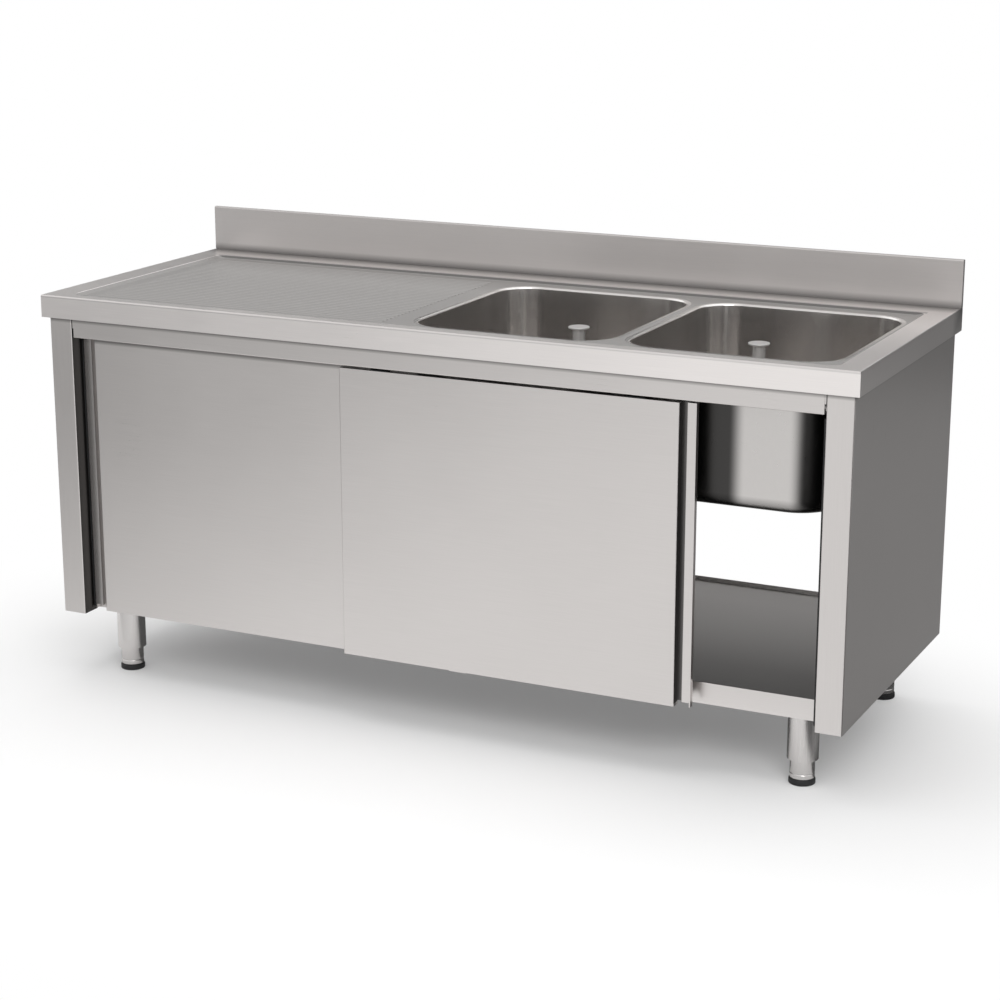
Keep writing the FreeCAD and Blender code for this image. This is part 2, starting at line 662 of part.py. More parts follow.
# ---- doors ----
def door_skin(x, face):
    """Front sheet of a door whose grip is on its right: face, finger recess and strip."""
    half = SHEET / 2
    edge = x[1] - GRIP_TOTAL
    back = face + DOOR_THICKNESS
    path = [
        (x[0] + half, back - SHEET),
        (x[0] + half, face + half),
        (edge - half, face + half),
        (edge - half, face + GRIP_DEPTH + half),
        (edge + GRIP_WIDTH, face + GRIP_DEPTH + half),
        (edge + GRIP_WIDTH, face + STRIP_DEPTH + half),
        (x[1] - half, face + STRIP_DEPTH + half),
        (x[1] - half, back - half),
        (x[1] - BACK_LIP, back - half),
    ]
    height = vec(0, 0, DOOR_TOP - DOOR_BOTTOM)
    skin = folded(path, SHEET, on_plan, vec(0, 0, DOOR_BOTTOM), height, (1, 2))
    y = (face + half, back - SHEET)
    inside = (x[0] + half, edge - half)
    lid = box(inside, y, (DOOR_TOP - SHEET, DOOR_TOP))
    slot = slot_limits(face)
    floor_front = box(inside, (y[0], slot[0]), (DOOR_BOTTOM, DOOR_BOTTOM + SHEET))
    floor_back = box(inside, (slot[1], y[1]), (DOOR_BOTTOM, DOOR_BOTTOM + SHEET))
    cut_x = (edge + half, x[1] - SHEET - BEND)
    cut = box(cut_x, (face - 1, back + 1), (DOOR_BOTTOM - 1, DOOR_BOTTOM + GRIP_CUT))
    return skin.fuse([lid, floor_front, floor_back]).cut(cut).removeSplitter()


def slot_limits(face):
    """Slot in a door's foot that the guide shoe runs in."""
    middle = face + DOOR_THICKNESS / 2
    return grown((middle, middle), SHOE_WIDTH / 2 + SHOE_CLEARANCE)


def door_back(x, face):
    back = face + DOOR_THICKNESS
    return box((x[0], x[1] - GRIP_TOTAL), (back - SHEET, back), (DOOR_BOTTOM, DOOR_TOP))


FRONT_DOOR_X = (FRONT_DOOR_LEFT, FRONT_DOOR_RIGHT)
REAR_DOOR_X = (-DOOR_LIMIT, LAP_EDGE)


def rear_door(shape_of):
    """The rear door is the mirror image, with its grip on the left."""
    x = (-REAR_DOOR_X[1], -REAR_DOOR_X[0])
    return mirrored(shape_of(x, REAR_DOOR_Y))


def front_axles():
    """Places of the front door's rollers along X."""
    body = (FRONT_DOOR_X[0], FRONT_DOOR_X[1] - GRIP_TOTAL)
    return (body[0] + HANGER_INSET, body[1] - HANGER_INSET)


def rear_axles():
    body = (REAR_DOOR_X[0] + GRIP_TOTAL, REAR_DOOR_X[1])
    return (body[0] + HANGER_INSET, body[1] - HANGER_INSET)


def hanger(x):
    """Angle on the front door's top, with the axle that reaches over the channel's lip."""
    half = HANGER_SHEET / 2
    path = [
        (HANGER_Y - HANGER_FOOT, DOOR_TOP + half),
        (HANGER_Y + half, DOOR_TOP + half),
        (HANGER_Y + half, DOOR_TOP + HANGER_RISE),
    ]
    start = vec(x - HANGER_WIDTH / 2, 0, 0)
    angle = folded(path, HANGER_SHEET, on_section, start, vec(HANGER_WIDTH, 0, 0))
    return angle.fuse(across(AXLE_RADIUS, (ROLLER_Y - ROLLER_WIDTH / 2, HANGER_Y), x))


def roller(x):
    """Nylon wheel on the hanger's axle, between the two walls of the channel."""
    y = grown((ROLLER_Y, ROLLER_Y), ROLLER_WIDTH / 2)
    wheel = prism(ROLLER_RADIUS, ROLLER_FLAT_COUNT, on_front, vec(x, y[0], AXLE_Z), vec(0, ROLLER_WIDTH, 0))
    return wheel.cut(across(AXLE_RADIUS + AXLE_CLEARANCE, y, x))


def to_rear_door(shape, x):
    """Turn a front piece half round about its upright axis and set it over the rear door."""
    turned_round = shape.copy()
    turned_round.rotate(vec(x, RUN_Y, 0), vec(0, 0, 1), 180)
    turned_round.translate(vec(0, DOOR_STEP, 0))
    return turned_round


def pair(make, places, rear=False):
    shapes = []
    for x in places:
        shape = make(x)
        shapes.append(to_rear_door(shape, x) if rear else shape)
    return Part.makeCompound(shapes)


# ---- stops and guides ----
def door_buffers():
    """Rubber strips down the posts that the doors close against."""
    middle = (STRIP_DEPTH + DOOR_THICKNESS) / 2
    x = (POST_INNER - DOOR_SIDE_GAP + RUN_CLEARANCE, POST_INNER)
    z = grown((DOOR_BOTTOM, DOOR_TOP), -BUFFER_FROM_END)
    strips = []
    for side, face in ((1, FRONT_DOOR_Y), (1, REAR_DOOR_Y), (-1, REAR_DOOR_Y)):
        strip = box(x, grown((face + middle, face + middle), BUFFER_WIDTH / 2), z)
        strips.append(strip if side > 0 else mirrored(strip))
    return Part.makeCompound(strips)


def front_travel_open():
    """How far the front door can still go to the left before its grip nears the guide."""
    return FRONT_DOOR_RIGHT - GRIP_TOTAL - GUIDE_X - STOP_MARGIN


def track_stop():
    """Block in the apron's channel that ends the front door's travel."""
    end = front_axles()[0] - front_travel_open() - ROLLER_RADIUS - RUN_CLEARANCE
    y = (APRON_FACE + SHEET + BEND, RUN_Y - SHEET / 2)
    return box((end - STOP_LENGTH, end), y, (APRON_FOOT + SHEET, AXLE_Z))


def bottom_guide():
    """Plate under the shelf's front lip that holds the doors' guide shoes."""
    y = (FRONT_DOOR_Y + (DOOR_THICKNESS - SHOE_WIDTH) / 2, SHELF_FRONT + SHELF_LIP)
    return box(grown((GUIDE_X, GUIDE_X), GUIDE_WIDTH / 2), y, (SHELF_FOOT - GUIDE_SHEET, SHELF_FOOT))


def guide_shoes():
    x = grown((GUIDE_X, GUIDE_X), SHOE_LENGTH / 2)
    shoes = []
    for face in (FRONT_DOOR_Y, REAR_DOOR_Y):
        middle = face + DOOR_THICKNESS / 2
        y = grown((middle, middle), SHOE_WIDTH / 2)
        shoes.append(box(x, y, (SHELF_FOOT, SHELF_FOOT + SHOE_HEIGHT)))
    return Part.makeCompound(shoes)


# ---- the whole unit ----
def build():
    right_side = side_panel()
    nodes = {
        "worktop": worktop(),
        "splashback": splashback(),
        "splash_end_caps": splash_end_caps(),
        "bowl_left": bowl(LEFT_BOWL_X, LEFT_WASTE_X),
        "bowl_right": bowl(RIGHT_BOWL_X, RIGHT_WASTE_X),
        "wastes": wastes(),
        "waste_backnuts": waste_backnuts(),
        "standpipe_left": standpipe(LEFT_WASTE_X),
        "standpipe_right": standpipe(RIGHT_WASTE_X),
        "side_panel_right": right_side,
        "side_panel_left": mirrored(right_side),
        "apron": apron(),
        "apron_brackets": apron_brackets(),
        "rear_track": rear_track(),
        "rear_rail": rear_rail(),
        "drainer_stiffeners": drainer_stiffeners(),
        "shelf": shelf(),
        "shelf_stiffener_left": shelf_stiffener(-LEG_X),
        "shelf_stiffener_right": shelf_stiffener(LEG_X),
        "legs": legs(),
        "front_door_skin": door_skin(FRONT_DOOR_X, FRONT_DOOR_Y),
        "front_door_back": door_back(FRONT_DOOR_X, FRONT_DOOR_Y),
        "front_door_hangers": pair(hanger, front_axles()),
        "rear_door_skin": rear_door(door_skin),
        "rear_door_back": rear_door(door_back),
        "rear_door_hangers": pair(hanger, rear_axles(), True),
        "door_buffers": door_buffers(),
        "track_stop": track_stop(),
        "bottom_guide": bottom_guide(),
        "guide_shoes": guide_shoes(),
    }
    for name, (x, y) in zip(("front_left", "rear_left", "front_right", "rear_right"), leg_places()):
        nodes["foot_" + name] = foot(x, y)
        nodes["foot_pad_" + name] = foot_pad(x, y)
    for side, front_x, rear_x in zip(("left", "right"), front_axles(), rear_axles()):
        nodes["front_roller_" + side] = roller(front_x)
        nodes["rear_roller_" + side] = to_rear_door(roller(rear_x), rear_x)
    return nodes


def main():
    os.makedirs("parts", exist_ok=True)
    for name, shape in build().items():
        shape.exportStep(os.path.join("parts", name + ".step"))
    print("front door travel", -front_travel_open(), FRONT_DOOR_OPENING)
    print("rear door travel", 0, DOOR_LIMIT - LAP_EDGE)


main()
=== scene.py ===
import math

import bmesh
import bpy
import numpy as np
from bpy.props import FloatProperty, FloatVectorProperty, PointerProperty
from bpy.types import Operator, Panel, PropertyGroup
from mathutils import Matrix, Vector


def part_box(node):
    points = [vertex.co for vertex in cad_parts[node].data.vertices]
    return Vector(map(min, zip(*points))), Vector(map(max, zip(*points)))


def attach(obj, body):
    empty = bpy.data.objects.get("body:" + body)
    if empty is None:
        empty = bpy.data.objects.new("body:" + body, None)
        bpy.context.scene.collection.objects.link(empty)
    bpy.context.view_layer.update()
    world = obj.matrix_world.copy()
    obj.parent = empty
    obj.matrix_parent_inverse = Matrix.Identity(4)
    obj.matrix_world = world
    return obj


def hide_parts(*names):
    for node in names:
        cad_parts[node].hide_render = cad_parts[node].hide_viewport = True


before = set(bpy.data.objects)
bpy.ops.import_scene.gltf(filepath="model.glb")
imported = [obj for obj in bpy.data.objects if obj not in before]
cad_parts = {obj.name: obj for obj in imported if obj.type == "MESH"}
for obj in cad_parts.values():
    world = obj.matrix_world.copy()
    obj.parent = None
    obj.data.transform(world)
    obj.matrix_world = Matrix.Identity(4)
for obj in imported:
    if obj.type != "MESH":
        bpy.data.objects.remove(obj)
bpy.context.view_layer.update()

bl_info = {
    "name": "Kitchen sink unit",
    "version": (1, 0, 0),
    "blender": (4, 5, 0),
    "location": "View3D > Sidebar > Sink unit",
    "description": "Dresses a stainless sink cabinet: drawn bowls, wastes, standpipes, feet and finishes",
    "category": "Object",
}

MM = 0.001
TURN = 2 * math.pi
CORNERS = ("front_left", "rear_left", "front_right", "rear_right")
SIDES = ("left", "right")
# Points closer than this are one point.
DOUBLES = 0.002 * MM
# Steps over a bowl's upright corner, its flat wall, its rim and foot, and its floor.
ARC_STEPS, SIDE_STEPS, ROUND_STEPS, FLOOR_STEPS = 14, 8, 12, 12
# How often the brushed lines change along x, y and z, per metre.
LENGTHWISE = (9.0, 700.0, 700.0)
UPRIGHT = (700.0, 700.0, 9.0)
DRAWN = (150.0, 150.0, 60.0)
# How high the brushing stands, and how far a shade fades at a cut, a fold and a gap.
RELIEF = 0.2 * MM
CRISP, FOLD, GAP = 0.4 * MM, 2 * MM, 7 * MM


def length(name, description, default, low=0.0, high=1.0):
    """A size in metres."""
    return FloatProperty(name=name, description=description, default=default, min=low, max=high,
                         precision=4, unit="LENGTH", subtype="DISTANCE")


def colour(name, description, default):
    return FloatVectorProperty(name=name, description=description, default=default, size=3,
                               min=0.0, max=1.0, subtype="COLOR")


def share(name, description, default, high=1.0):
    """A share from 0 to high."""
    return FloatProperty(name=name, description=description, default=default, min=0.0, max=high,
                         subtype="FACTOR")


def angle(name, description, degrees):
    return FloatProperty(name=name, description=description, default=math.radians(degrees),
                         subtype="ANGLE", unit="ROTATION")


# ---- sizes and colours a user may change ----
class SinkUnitSizes(PropertyGroup):
    sheet: length("Bowl sheet", "Thickness of the bowls' sheet", 1.2 * MM)
    flange: length("Bowl flange", "Width of the flange welded into the pan", 10 * MM)
    rim: length("Bowl rim", "Rounding from the pan into a bowl", 4.5 * MM)
    corner: length("Bowl corner", "Radius of a bowl's upright corners", 72 * MM)
    foot: length("Bowl foot", "Rounding between a bowl's walls and its floor", 52 * MM)
    fall: length("Floor fall", "Height lost from the walls to the waste", 2.5 * MM)
    waste_hole: length("Waste hole", "Radius of the hole in a bowl's floor", 20.4 * MM)
    tube: length("Standpipe tube", "Outer radius of the overflow tube", 13 * MM)
    tube_wall: length("Standpipe wall", "Wall of the overflow tube", 1.2 * MM)
    cap: length("Standpipe cap", "Radius of the flat cap", 22 * MM)
    thread_pitch: length("Thread pitch", "Pitch of the waste tails' thread", 2.3 * MM)
    thread_depth: length("Thread depth", "Depth of the waste tails' thread", 0.9 * MM)
    bolt: length("Bolt head", "Radius to the corners of a leg bolt's head", 6.5 * MM)


class SinkUnitFinishes(PropertyGroup):
    worktop: colour("Worktop", "Brushed sheet of the worktop", (0.86, 0.824, 0.806))
    splash: colour("Splashback", "Brushed sheet of the splashback", (0.55, 0.526, 0.515))
    splash_roughness: share("Splashback roughness", "Roughness of the splashback", 0.46)
    bowl: colour("Bowls", "Satin sheet of the bowls' insides", (0.66, 0.638, 0.622))
    # Painted highlight: a lighter colour in the bowls' upright corners, for the light that they catch.
    bowl_corner_highlight: colour("Bowls' corners", "Burnished sheet in the upright corners", (1.0, 0.985, 0.965))
    bowl_outside: colour("Bowls' outsides", "Dull sheet of the bowls' outsides", (0.60, 0.58, 0.565))
    shelf: colour("Shelf", "Dull sheet of the shelf", (0.45, 0.436, 0.427))
    pan: colour("Pan", "Pressed pan and drainer of the worktop", (0.405, 0.393, 0.384))
    pan_roughness: share("Pan roughness", "Roughness of the pressed pan", 0.47)
    pipe: colour("Pipe", "Satin tube of the standpipes", (0.80, 0.79, 0.78))
    cap: colour("Cap", "Flat caps of the standpipes", (0.50, 0.493, 0.487))
    cabinet: colour("Cabinet", "Satin sheet of the panels and rails", (0.65, 0.623, 0.608))
    door: colour("Doors", "Brushed sheet of the doors", (0.655, 0.628, 0.613))
    leg: colour("Legs", "Satin tube of the legs", (0.62, 0.60, 0.59))
    chrome: colour("Chrome", "Polished wastes", (0.80, 0.80, 0.80))
    zinc: colour("Zinc", "Plated hangers and bolts", (0.52, 0.53, 0.55))
    brass: colour("Brass", "Backnuts of the wastes", (0.62, 0.47, 0.24))
    rubber: colour("Rubber", "Pads, buffers and seals", (0.008, 0.008, 0.0085))
    nylon: colour("Nylon", "Rollers, shoes and stop", (0.72, 0.71, 0.67))
    roughness: share("Satin roughness", "Roughness of the brushed steel", 0.30)


class SinkUnitShades(PropertyGroup):
    """Shares of the tone left where shade is painted, where one sheet shades another; a share above 1
    paints light
    """

    worktop_rear: share("Worktop rear", "On the worktop towards the splashback", 0.35)
    splash_foot: share("Splashback foot", "Along the splashback's foot", 0.5)
    pan_step: share("Pan step", "On the pressed step at the pan's rear", 0.45)
    front_fold: share("Front fold", "On the fold at the worktop's front", 0.78)
    edge: share("Under an edge", "Under the worktop's folded edge and the front rail", 0.4)
    post: share("Posts", "On the returns that the posts turn towards the doors", 0.12)
    head: share("Door heads", "In the gaps over the doors", 0.06)
    front_grip: share("Front grip", "In the front door's finger recess", 0.2)
    rear_grip: share("Rear grip", "In the rear door's finger recess", 0.75)
    shelf_front: share("Shelf front", "Along the front of the shelf's top", 0.62)
    shelf_flange: share("Shelf flange", "On the shelf's front flange", 1.6, 3.0)
    shelf_upstand: share("Shelf upstand", "On the shelf's rear upstand", 2.1, 3.0)
    # Painted shade: darker bands down the bowls' outsides and towards their foot.
    bowl_band: share("Bowl bands", "In the dull bands down the bowls' outsides", 0.1)


class SinkUnitStage(PropertyGroup):
    camera_place: FloatVectorProperty(name="Camera place", description="Where the camera stands",
                                      default=(2.092, -4.316, 1.725), subtype="TRANSLATION",
                                      unit="LENGTH")
    camera_turn: angle("Camera turn", "Camera's turn about the upright axis", 25.73)
    camera_tilt: angle("Camera tilt", "Camera's tilt below the level", 15.23)
    lens: FloatProperty(name="Lens", description="Focal length in millimetres", default=83.76,
                        min=10, max=300)
    floor: colour("Floor", "Pale studio floor", (0.90, 0.90, 0.90))
    floor_reach: length("Floor reach", "Half the side of the floor", 14.0, 1.0, 100.0)
    near_white: share("Near white", "Share of plain white in the floor under the unit", 0.12)
    sky: share("Sky", "Level of the soft light from all around", 0.75)
    key: FloatProperty(name="Key light", description="Power in watts", default=60.0, min=0.0)
    top: FloatProperty(name="Top light", description="Power in watts", default=45.0, min=0.0)
    back_card: share("Back card", "Grey that steel reflects from behind the unit", 0.14)
    back_floor: share("Back floor card", "Grey that steel reflects from the floor behind the unit", 0.5)
    side_card: share("Side card", "Grey that steel reflects from the right", 0.25)
    # Painted shade under the unit: this grey stands in, in reflections, for the shaded floor there; the
    # right card uses it too.
    under_card: share("Under card", "Grey that steel reflects from under the unit and the right", 0.10)
    front_left: share("Front card, left", "Grey that steel reflects from the front left", 0.29)
    front_right: share("Front card, right", "Grey that steel reflects from the front right", 0.95)


# ---- surfaces ----
def soften(points, radii, steps=6, closed=False):
    """Line through points with its corners rounded.

    Each corner C with neighbours at unit directions a and b becomes the curve
    (1-t)^2 (C + r a) + 2 t (1-t) C + t^2 (C + r b) for t from 0 to 1.
    """
    points = np.asarray(points, float)
    radii = np.broadcast_to(np.asarray(radii, float), len(points)).copy()
    before, after = np.roll(points, 1, 0) - points, np.roll(points, -1, 0) - points
    if not closed:
        radii[[0, -1]] = 0
    reach_before, reach_after = np.linalg.norm(before, axis=1), np.linalg.norm(after, axis=1)
    cut = np.minimum(radii, 0.49 * np.minimum(reach_before, reach_after))[:, None, None]
    into = before / reach_before[:, None]
    away = after / reach_after[:, None]
    t = np.linspace(0, 1, steps + 1)[None, :, None]
    corner = points[:, None, :]
    curve = (1 - t) ** 2 * (corner + cut * into[:, None, :]) + 2 * t * (1 - t) * corner
    curve = (curve + t ** 2 * (corner + cut * away[:, None, :])).reshape(-1, points.shape[1])
    keep = np.ones(len(curve), bool)
    keep[1:] = np.linalg.norm(np.diff(curve, axis=0), axis=1) > 1e-7
    return curve[keep]


def quads(rows, columns, close_rows=False, close_columns=False):
    """Corner numbers of the faces between neighbouring rows and columns of a grid."""
    row, column = np.meshgrid(np.arange(rows if close_rows else rows - 1),
                              np.arange(columns if close_columns else columns - 1), indexing="ij")
    next_row, next_column = (row + 1) % rows, (column + 1) % columns
    corners = [row * columns + column, row * columns + next_column,
               next_row * columns + next_column, next_row * columns + column]
    return np.stack(corners, -1).reshape(-1, 4)


def patch(grid, close_rows=False, close_columns=False):
    """Points and faces of one grid of shape (rows, columns, 3)."""
    return grid.reshape(-1, 3), quads(grid.shape[0], grid.shape[1], close_rows, close_columns)


def revolved(profile, centre, sides=64, closed=True, outline=None, thread=None):
    """Turned surface: point(u, v) = centre + (r cos u, r sin u, z), r and z from the profile.

    outline gives a greatest radius for each angle u, as for the flats of a nut; thread is
    (top, pitch, depth, outside) and takes depth (1 - cos(2 pi z / pitch - u)) / 2 off the
    radius of the points below top whose radius is over outside.
    """
    u = np.linspace(0, TURN, sides, endpoint=False)[None, :]
    r, z = profile[:, 0][:, None], profile[:, 1][:, None]
    radius = np.broadcast_to(r, (len(profile), sides)).copy()
    if outline is not None:
        radius = np.minimum(radius, outline(u))
    if thread is not None:
        top, pitch, depth, outside = thread
        groove = depth * (1 - np.cos(TURN * z / pitch - u)) / 2
        radius = np.where((z < top) & (r > outside), radius - groove, radius)
    grid = np.stack([centre[0] + radius * np.cos(u), centre[1] + radius * np.sin(u),
                     centre[2] + np.broadcast_to(z, radius.shape)], -1)
    return patch(grid, close_rows=closed, close_columns=True)


def six_flats(radius):
    """Radius of a hexagon at angle u: R cos(30 deg) / cos((u mod 60 deg) - 30 deg)."""
    flat, half = TURN / 6, TURN / 12
    return lambda u: radius * math.cos(half) / np.cos(np.mod(u, flat) - half)


def loops(x, y, out, radius, arc, side):
    """Rounded rectangles, one for each entry of out and radius, as an array (rows, n, 2).

    Corner k has its centre at the rectangle's corner drawn in by the radius, and its arc is
    centre + radius (cos a, sin a) for a over a quarter turn; straight sides join the arcs.
    """
    out, radius = np.asarray(out, float)[:, None], np.asarray(radius, float)[:, None]
    east, west = x[1] + out - radius, x[0] - out + radius
    north, south = y[1] + out - radius, y[0] - out + radius
    centre = np.stack([np.concatenate([east, east, west, west], 1),
                       np.concatenate([south, north, north, south], 1)], -1)
    a = np.linspace(-TURN / 4, 0, arc + 1)[None, :] + np.arange(4)[:, None] * TURN / 4
    ring = np.stack([np.cos(a), np.sin(a)], -1)[None]
    arcs = centre[:, :, None, :] + radius[:, :, None, None] * ring
    t = (np.arange(1, side) / side)[None, None, :, None]
    start, end = arcs[:, :, -1:, :], np.roll(arcs, -1, 1)[:, :, :1, :]
    sides = start + (end - start) * t
    return np.concatenate([arcs, sides], 2).reshape(len(out), -1, 2)


def add_object(name, data):
    """Object at the origin, in the scene."""
    thing = bpy.data.objects.new(name, data)
    bpy.context.scene.collection.objects.link(thing)
    return thing


def add_piece(name, patches, finish, body, replaces=(), thickness=0.0, crease=35.0, marks=None):
    """Mesh from patches: doubles merged, faces turned outwards, smooth up to the crease angle.

    marks gives a value for each point under each name, for the finish to read.
    """
    starts = np.cumsum([0] + [len(points) for points, _ in patches])
    points = np.concatenate([points for points, _ in patches])
    faces = np.concatenate([faces + start for (_, faces), start in zip(patches, starts)])
    mesh = bpy.data.meshes.new(name)
    mesh.from_pydata(points.tolist(), [], faces.tolist())
    for mark, values in (marks or {}).items():
        mesh.attributes.new(mark, "FLOAT", "POINT").data.foreach_set("value", values)
    work = bmesh.new()
    work.from_mesh(mesh)
    bmesh.ops.remove_doubles(work, verts=work.verts, dist=DOUBLES)
    if not thickness:
        bmesh.ops.recalc_face_normals(work, faces=work.faces)
    work.to_mesh(mesh)
    work.free()
    mesh.polygons.foreach_set("use_smooth", np.ones(len(mesh.polygons), bool))
    mesh.set_sharp_from_angle(angle=math.radians(crease))
    piece = add_object(name, mesh)
    mesh.materials.append(finish)
    if thickness:
        wall = piece.modifiers.new("Wall", "SOLIDIFY")
        wall.thickness, wall.offset = thickness, -1.0
    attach(piece, body)
    if replaces:
        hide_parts(*replaces)
    return piece


def middle(node):
    """Middle of a node's box, with its lowest and highest levels."""
    low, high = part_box(node)
    return (low.x + high.x) / 2, (low.y + high.y) / 2, low.z, high.z


# ---- finishes ----
def add_node(tree, kind, inputs=None, **settings):
    """New shader node; an input is either a value or another node's output to link."""
    node = tree.nodes.new("ShaderNode" + kind)
    for name, value in settings.items():
        setattr(node, name, value)
    for name, value in (inputs or {}).items():
        if isinstance(value, bpy.types.NodeSocket):
            tree.links.new(value, node.inputs[name])
        else:
            node.inputs[name].default_value = value
    return node


def blank(name):
    """New material with its node tree and its shader."""
    material = bpy.data.materials.new(name)
    material.use_nodes = True
    tree = material.node_tree
    return material, tree, tree.nodes["Principled BSDF"]


def noise(tree, vector, scale, detail=4.0, rough=0.5):
    """Uneven value from 0 to 1, scale times per unit of the vector."""
    return add_node(tree, "TexNoise", {"Vector": vector, "Scale": scale, "Detail": detail,
                                       "Roughness": rough}).outputs["Fac"]


def spread(tree, value, low, high, start=0.3, end=0.7, **settings):
    """Value from start to end carried over to low to high."""
    return add_node(tree, "MapRange", {"Value": value, "From Min": start, "From Max": end,
                                       "To Min": low, "To Max": high}, **settings).outputs["Result"]


def mixed(tree, part, first, second):
    """The first colour turning to the second as part goes from 0 to 1."""
    return add_node(tree, "MixRGB", {"Fac": part, "Color1": first, "Color2": second}).outputs["Color"]


def maths(tree, operation, first, second=0.0):
    return add_node(tree, "Math", {0: first, 1: second}, operation=operation).outputs["Value"]


def vectors(tree, operation, first, inputs):
    return add_node(tree, "VectorMath", {0: first, **inputs}, operation=operation).outputs["Vector"]


def shade(base, factor=1.0):
    """The colour times a factor, opaque."""
    return tuple(min(1.0, channel * factor) for channel in base) + (1.0,)


def inside(tree, place, boxes, blur=CRISP):
    """1 inside any of the boxes (low, high), 0 outside, over a soft border.

    For each box q = |p - centre| - half, and the share falls from 1 to 0 as the greatest of
    q's three parts goes from 0 to the blur.
    """
    total = None
    for low, high in boxes:
        centre = tuple((a + b) / 2 for a, b in zip(low, high))
        half = tuple((b - a) / 2 for a, b in zip(low, high))
        off = vectors(tree, "ABSOLUTE", vectors(tree, "SUBTRACT", place, {1: centre}), {})
        off = vectors(tree, "SUBTRACT", off, {1: half})
        parts = add_node(tree, "SeparateXYZ", {"Vector": off}).outputs
        most = maths(tree, "MAXIMUM", maths(tree, "MAXIMUM", parts["X"], parts["Y"]), parts["Z"])
        part = spread(tree, most, 1.0, 0.0, 0.0, blur)
        total = part if total is None else maths(tree, "MAXIMUM", total, part)
    return total


def painted_shade_bands(tree, place, base, first, distance, least, foot, shoulder):
    """The colour with painted shade: broad darker bands across x, and darker towards the foot.

    The tone goes smoothly from the least share to 1 as cos(2 pi (x - first) / distance) goes
    from 0.5 to -0.4, and it falls to the least share from the shoulder's height to the foot's.
    """
    parts = add_node(tree, "SeparateXYZ", {"Vector": place}).outputs
    turn = maths(tree, "MULTIPLY", maths(tree, "SUBTRACT", parts["X"], first), TURN / distance)
    wave = spread(tree, maths(tree, "COSINE", turn), least, 1.0, 0.5, -0.4,
                  interpolation_type="SMOOTHSTEP")
    wave = maths(tree, "MULTIPLY", wave, spread(tree, parts["Z"], least, 1.0, foot, shoulder))
    return vectors(tree, "SCALE", tuple(base), {"Scale": wave})


def steel(name, base, roughness, grain, contrast=0.02, relief=0.02, metal=1.0, second=None,
          painted_light_and_shade=(), bands=None):
    """Brushed steel: fine lines along one axis, uneven sheen and faint hand marks.

    grain is how often the lines change along each axis, per metre. second is a second colour,
    a second roughness and the boxes that they fill, or None for a skin marked as inner, and
    may add the colour of a painted highlight, which the second turns to where the skin is marked as a bend.
    Each mask of painted light and shade is (boxes, border, share): the tone in the boxes is multiplied by
    the share over a soft border, painted shade, or painted light where the share is above 1. bands are the
    last five values for the painted shade bands, for where the second colour isn't.
    """
    material, tree, shader = blank(name)
    place = add_node(tree, "TexCoord").outputs["Object"]
    along = add_node(tree, "Mapping", {"Vector": place, "Scale": grain}).outputs["Vector"]
    lines = noise(tree, along, scale=1.0, detail=5.0, rough=0.55)
    marks = noise(tree, place, scale=3.5, detail=3.0)
    tone = spread(tree, maths(tree, "ADD", lines, spread(tree, marks, -0.1, 0.1)),
                  1 - contrast, 1 + contrast)
    sheen = maths(tree, "ADD", spread(tree, lines, -0.02, 0.02), spread(tree, marks, -0.01, 0.01))
    own, level = shade(base), roughness
    if bands:
        own = painted_shade_bands(tree, place, base, *bands)
    if second:
        other, second_roughness, boxes, *highlight_colour = second
        if boxes is None:
            there = add_node(tree, "Attribute", attribute_name="inner").outputs["Fac"]
        else:
            there = inside(tree, place, boxes)
        other = shade(other)
        if highlight_colour:
            bend = add_node(tree, "Attribute", attribute_name="bend").outputs["Fac"]
            other = mixed(tree, bend, other, shade(highlight_colour[0]))
        own = mixed(tree, there, own, other)
        level = spread(tree, there, roughness, second_roughness, 0.0, 1.0)
    # Painted shade, or painted light where the share is above 1, in each mask's boxes.
    for boxes, border, least in painted_light_and_shade:
        shadow = spread(tree, inside(tree, place, boxes, border), 1.0, least, 0.0, 1.0)
        tone = maths(tree, "MULTIPLY", tone, shadow)
    if not isinstance(own, bpy.types.NodeSocket):
        own = own[:3]
    tint = vectors(tree, "SCALE", own, {"Scale": tone})
    if relief:
        bump = add_node(tree, "Bump", {"Height": lines, "Strength": relief, "Distance": RELIEF})
        tree.links.new(bump.outputs["Normal"], shader.inputs["Normal"])
    tree.links.new(tint, shader.inputs["Base Color"])
    tree.links.new(maths(tree, "ADD", level, sheen), shader.inputs["Roughness"])
    shader.inputs["Metallic"].default_value = metal
    return material


def plated(name, base, roughness, speckle, metal=1.0, relief=0.05, contrast=0.08):
    """Polished, plated, moulded or rubber surface: soft clouding and a fine speckle."""
    material, tree, shader = blank(name)
    place = add_node(tree, "TexCoord").outputs["Object"]
    clouds = noise(tree, place, scale=22.0)
    grain = noise(tree, place, speckle, detail=3.0)
    tint = mixed(tree, spread(tree, clouds, 0.0, 1.0), shade(base, 1 - contrast), shade(base, 1 + contrast))
    bump = add_node(tree, "Bump", {"Height": grain, "Strength": relief, "Distance": RELIEF})
    tree.links.new(tint, shader.inputs["Base Color"])
    tree.links.new(spread(tree, clouds, roughness * 0.75, roughness * 1.3), shader.inputs["Roughness"])
    tree.links.new(bump.outputs["Normal"], shader.inputs["Normal"])
    shader.inputs["Metallic"].default_value = metal
    return material


# ---- where the finishes change: boxes (low, high) in Object coordinates ----
def pan_box():
    """Box of the pressed pan, below the worktop's flat border."""
    low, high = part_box("worktop")
    left, front, right, rear = 58 * MM, 30 * MM, 50 * MM, 88 * MM
    deepest, skin = 20 * MM, 0.8 * MM
    return ((low.x + left, low.y + front, high.z - deepest), (high.x - right, high.y - rear, high.z - skin))


